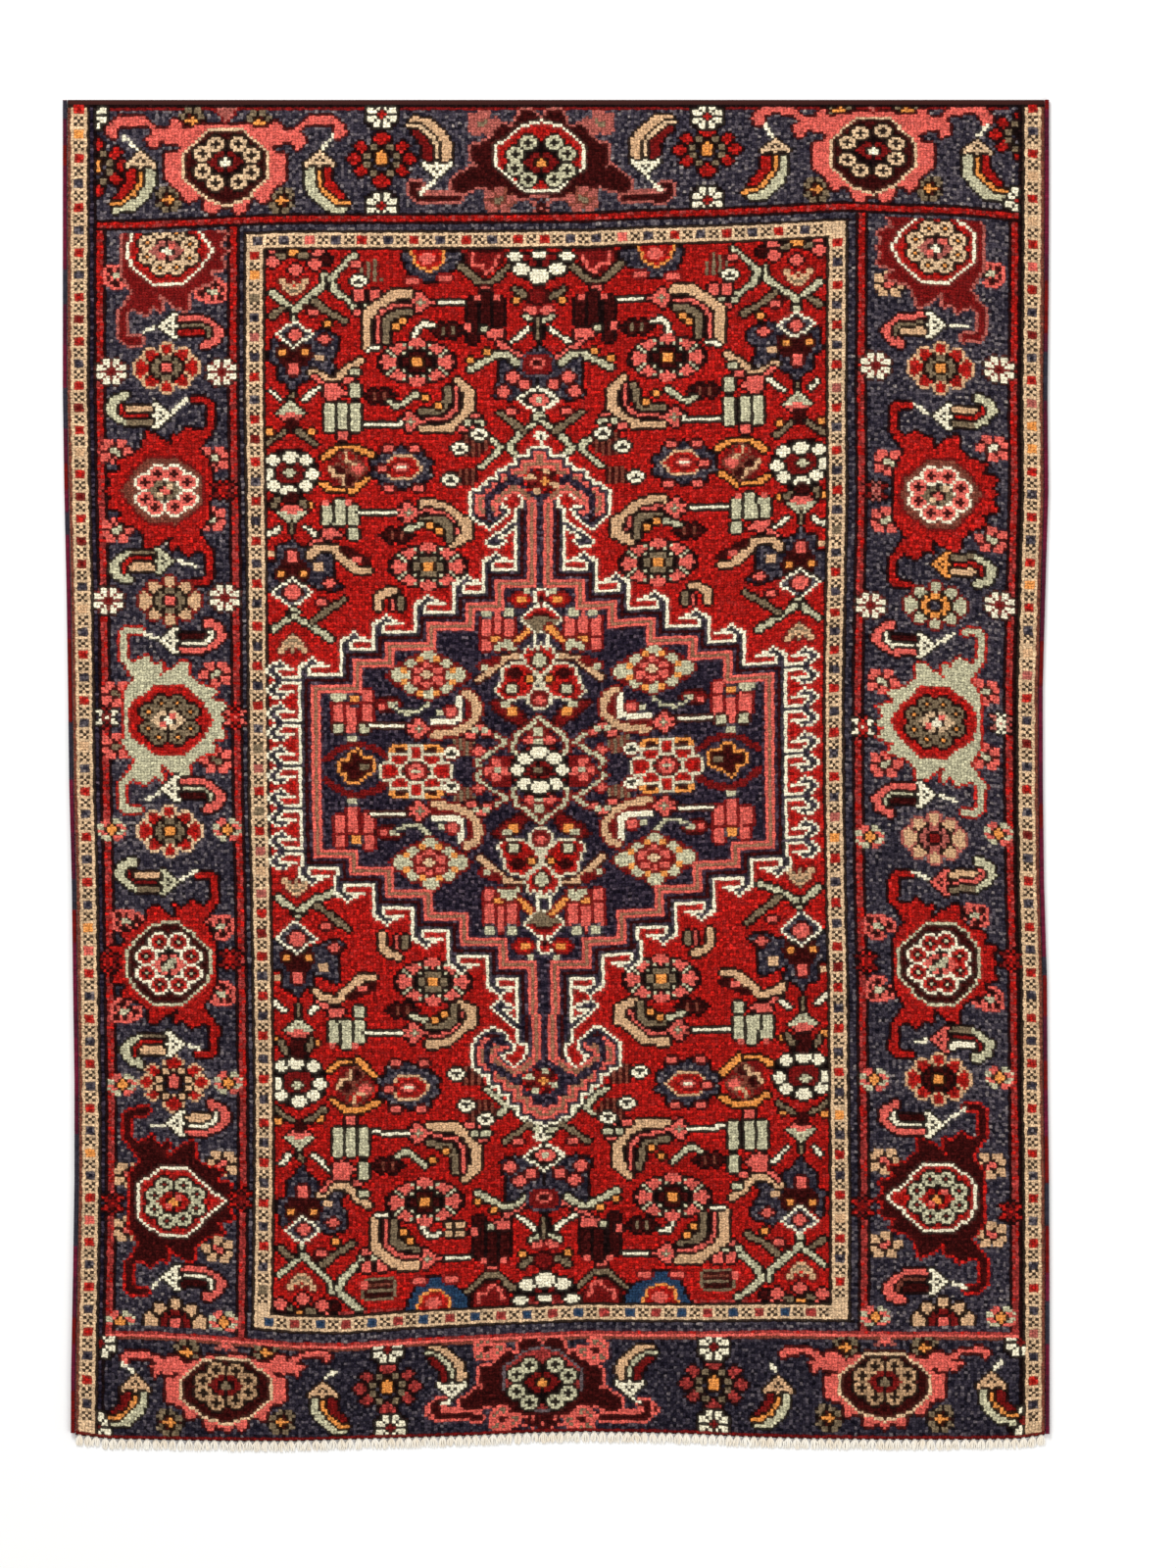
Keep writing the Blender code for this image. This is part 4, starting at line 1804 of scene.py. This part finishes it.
def fringe(material):
    """The warp ends at the foot: knotted in bundles, whose strands splay and meet again."""
    foot = float(foot_y(np.array(0.0)))
    left_end, right_end = float(pile_side_x(foot, -1)), float(pile_side_x(foot, 1))
    bundles = round((right_end - left_end) / BUNDLE_PITCH)
    pitch = (right_end - left_end) / bundles
    tubes = []
    longest = FRINGE_REACH - TOUCH_GAP
    strands, stations = 6, 9
    t = np.linspace(0, 1, stations)
    for number in range(bundles):
        middle = left_end + (number + 0.5) * pitch + chance.normal(0, 0.0004)
        neck = foot_y(np.full(stations, middle))
        reach = longest - 0.0022 * chance.random() ** 2
        lean = chance.normal(0, 0.0007)
        for strand in range(strands):
            share = (strand + 0.5) / strands * 2 - 1
            end = share + chance.normal(0, 0.22)
            bulge = pitch * (0.44 + 0.10 * chance.random())
            splay = np.interp(t, (0, 0.12, 0.45, 0.8, 1), (0.30, 0.24, 0.9, 1.04, 0.80))
            x = middle + (share + (end - share) * t ** 2) * bulge * splay + lean * t ** 2
            x += 0.0006 * np.sin(t * 4 + chance.uniform(0, 6.3)) * t
            length = reach * (1 - 0.10 * abs(share) * chance.random())
            y = neck + 0.0012 - t * length * (1 - 0.02 * share * share)
            y = np.maximum(y, -RUG_LENGTH / 2 + 0.0002)
            radius = np.interp(t, (0, 0.1, 0.5, 0.85, 1), (0.66, 0.72, 0.94, 0.86, 0.40)) * MM
            radius = radius * chance.uniform(0.85, 1.1)
            lift = np.interp(t, (0, 0.12, 0.4, 1), (2.9, 3.0, 2.2, 1.1)) * MM
            z = lift + (strand % 3) * 0.0007 * np.sin(np.pi * t) + chance.uniform(0, 0.0003)
            z = np.maximum(z, radius + 0.0001)
            tubes.append(strand_tube(np.stack([x, y, z], axis=1), radius))
        # the knot that holds the bundle
        turn = np.linspace(0, 2 * np.pi, stations)
        path = np.stack([middle + 0.0021 * np.cos(turn), neck - 0.0012 + 0.0004 * np.sin(turn * 2),
                         0.0024 + 0.0018 * np.sin(turn)], axis=1)
        tubes.append(strand_tube(path, np.full(stations, 0.0006), 5))
    starts = np.cumsum([0] + [len(skin) for skin, _ in tubes])
    faces = np.concatenate([tube + start for (_, tube), start in zip(tubes, starts)])
    return add_mesh("fringe_strands", np.concatenate([skin for skin, _ in tubes]), faces, material,
                    smooth=True)


pile_wool = pile_material()
back_wool = back_material()
height = pile_heights()
(first_column, last_column), (first_row, last_row) = MIDDLE
in_middle = np.zeros(knots.shape, bool)
in_middle[first_row:last_row, first_column:last_column] = True
pile_field = knot_piece("pile_field", in_middle, height, pile_wool)
pile_border = knot_piece("pile_border", ~in_middle, height, pile_wool, skirt=PILE_BASE)
back_height = np.full(grid_columns.shape, MARGIN)
back_field = knot_piece("back_field", in_middle, back_height, back_wool, flipped=True)
back_border = knot_piece("back_border", ~in_middle, back_height, back_wool, flipped=True)
base = foundation(web_material())
cord_wool = cord_material()
cords = [selvedge("side_cord_left", -1, cord_wool), selvedge("side_cord_right", 1, cord_wool)]
warp_ends = fringe(cotton_material("fringe_cotton", (254, 250, 240), (246, 234, 214)))

for piece in (pile_field, pile_border, back_field, back_border, base, *cords, warp_ends):
    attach(piece, "root")
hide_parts("rug")
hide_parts("selvedge_left")
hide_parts("selvedge_right")
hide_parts("fringe_foot")

# ---------------------------------------------------------------------------------------
# Floor, light and camera
# ---------------------------------------------------------------------------------------
FLOOR_REACH = 8
floor_look = Look("floor_pale", 0.9)
floor_look.feed(floor_look.shader, {"Base Color": (0.93, 0.93, 0.93, 1)})
floor_corners = [(x * FLOOR_REACH, y * FLOOR_REACH, 0) for x, y in ((-1, -1), (1, -1), (1, 1), (-1, 1))]
floor = add_mesh("floor", floor_corners, [(0, 1, 2, 3)], floor_look.material)
floor.location.z = -MARGIN

scene = bpy.context.scene
scene.view_settings.view_transform = "Standard"
scene.world = bpy.data.worlds.new("studio")
scene.world.use_nodes = True
background = scene.world.node_tree.nodes["Background"]
background.inputs["Color"].default_value = (1.0, 0.99, 0.97, 1)
background.inputs["Strength"].default_value = 0.62


def area_light(name, place, size, power):
    """A square light that faces the rug's middle."""
    light = bpy.data.lights.new(name, "AREA")
    light.size = size
    light.energy = power
    lamp = add_object(name, light)
    lamp.location = place
    x, y, z = place
    lamp.rotation_euler = (math.acos(z / math.hypot(x, y, z)), 0, math.atan2(-y, -x) - math.pi / 2)


area_light("key", (-1.2, 3.2, 3.4), 1.6, 150)
area_light("fill", (2.6, -2.2, 3.6), 2.6, 60)

VIEW_HEIGHT = 2.08                             # metres of floor from the picture's top to its foot
VIEW_MIDDLE = (0.04225, -0.00975)
camera_data = bpy.data.cameras.new("camera")
camera_data.lens = 200
camera_data.sensor_width = 36
camera_data.clip_end = 60
camera = add_object("camera", camera_data)
camera.location = (*VIEW_MIDDLE, VIEW_HEIGHT * camera_data.lens / camera_data.sensor_width)
scene.camera = camera
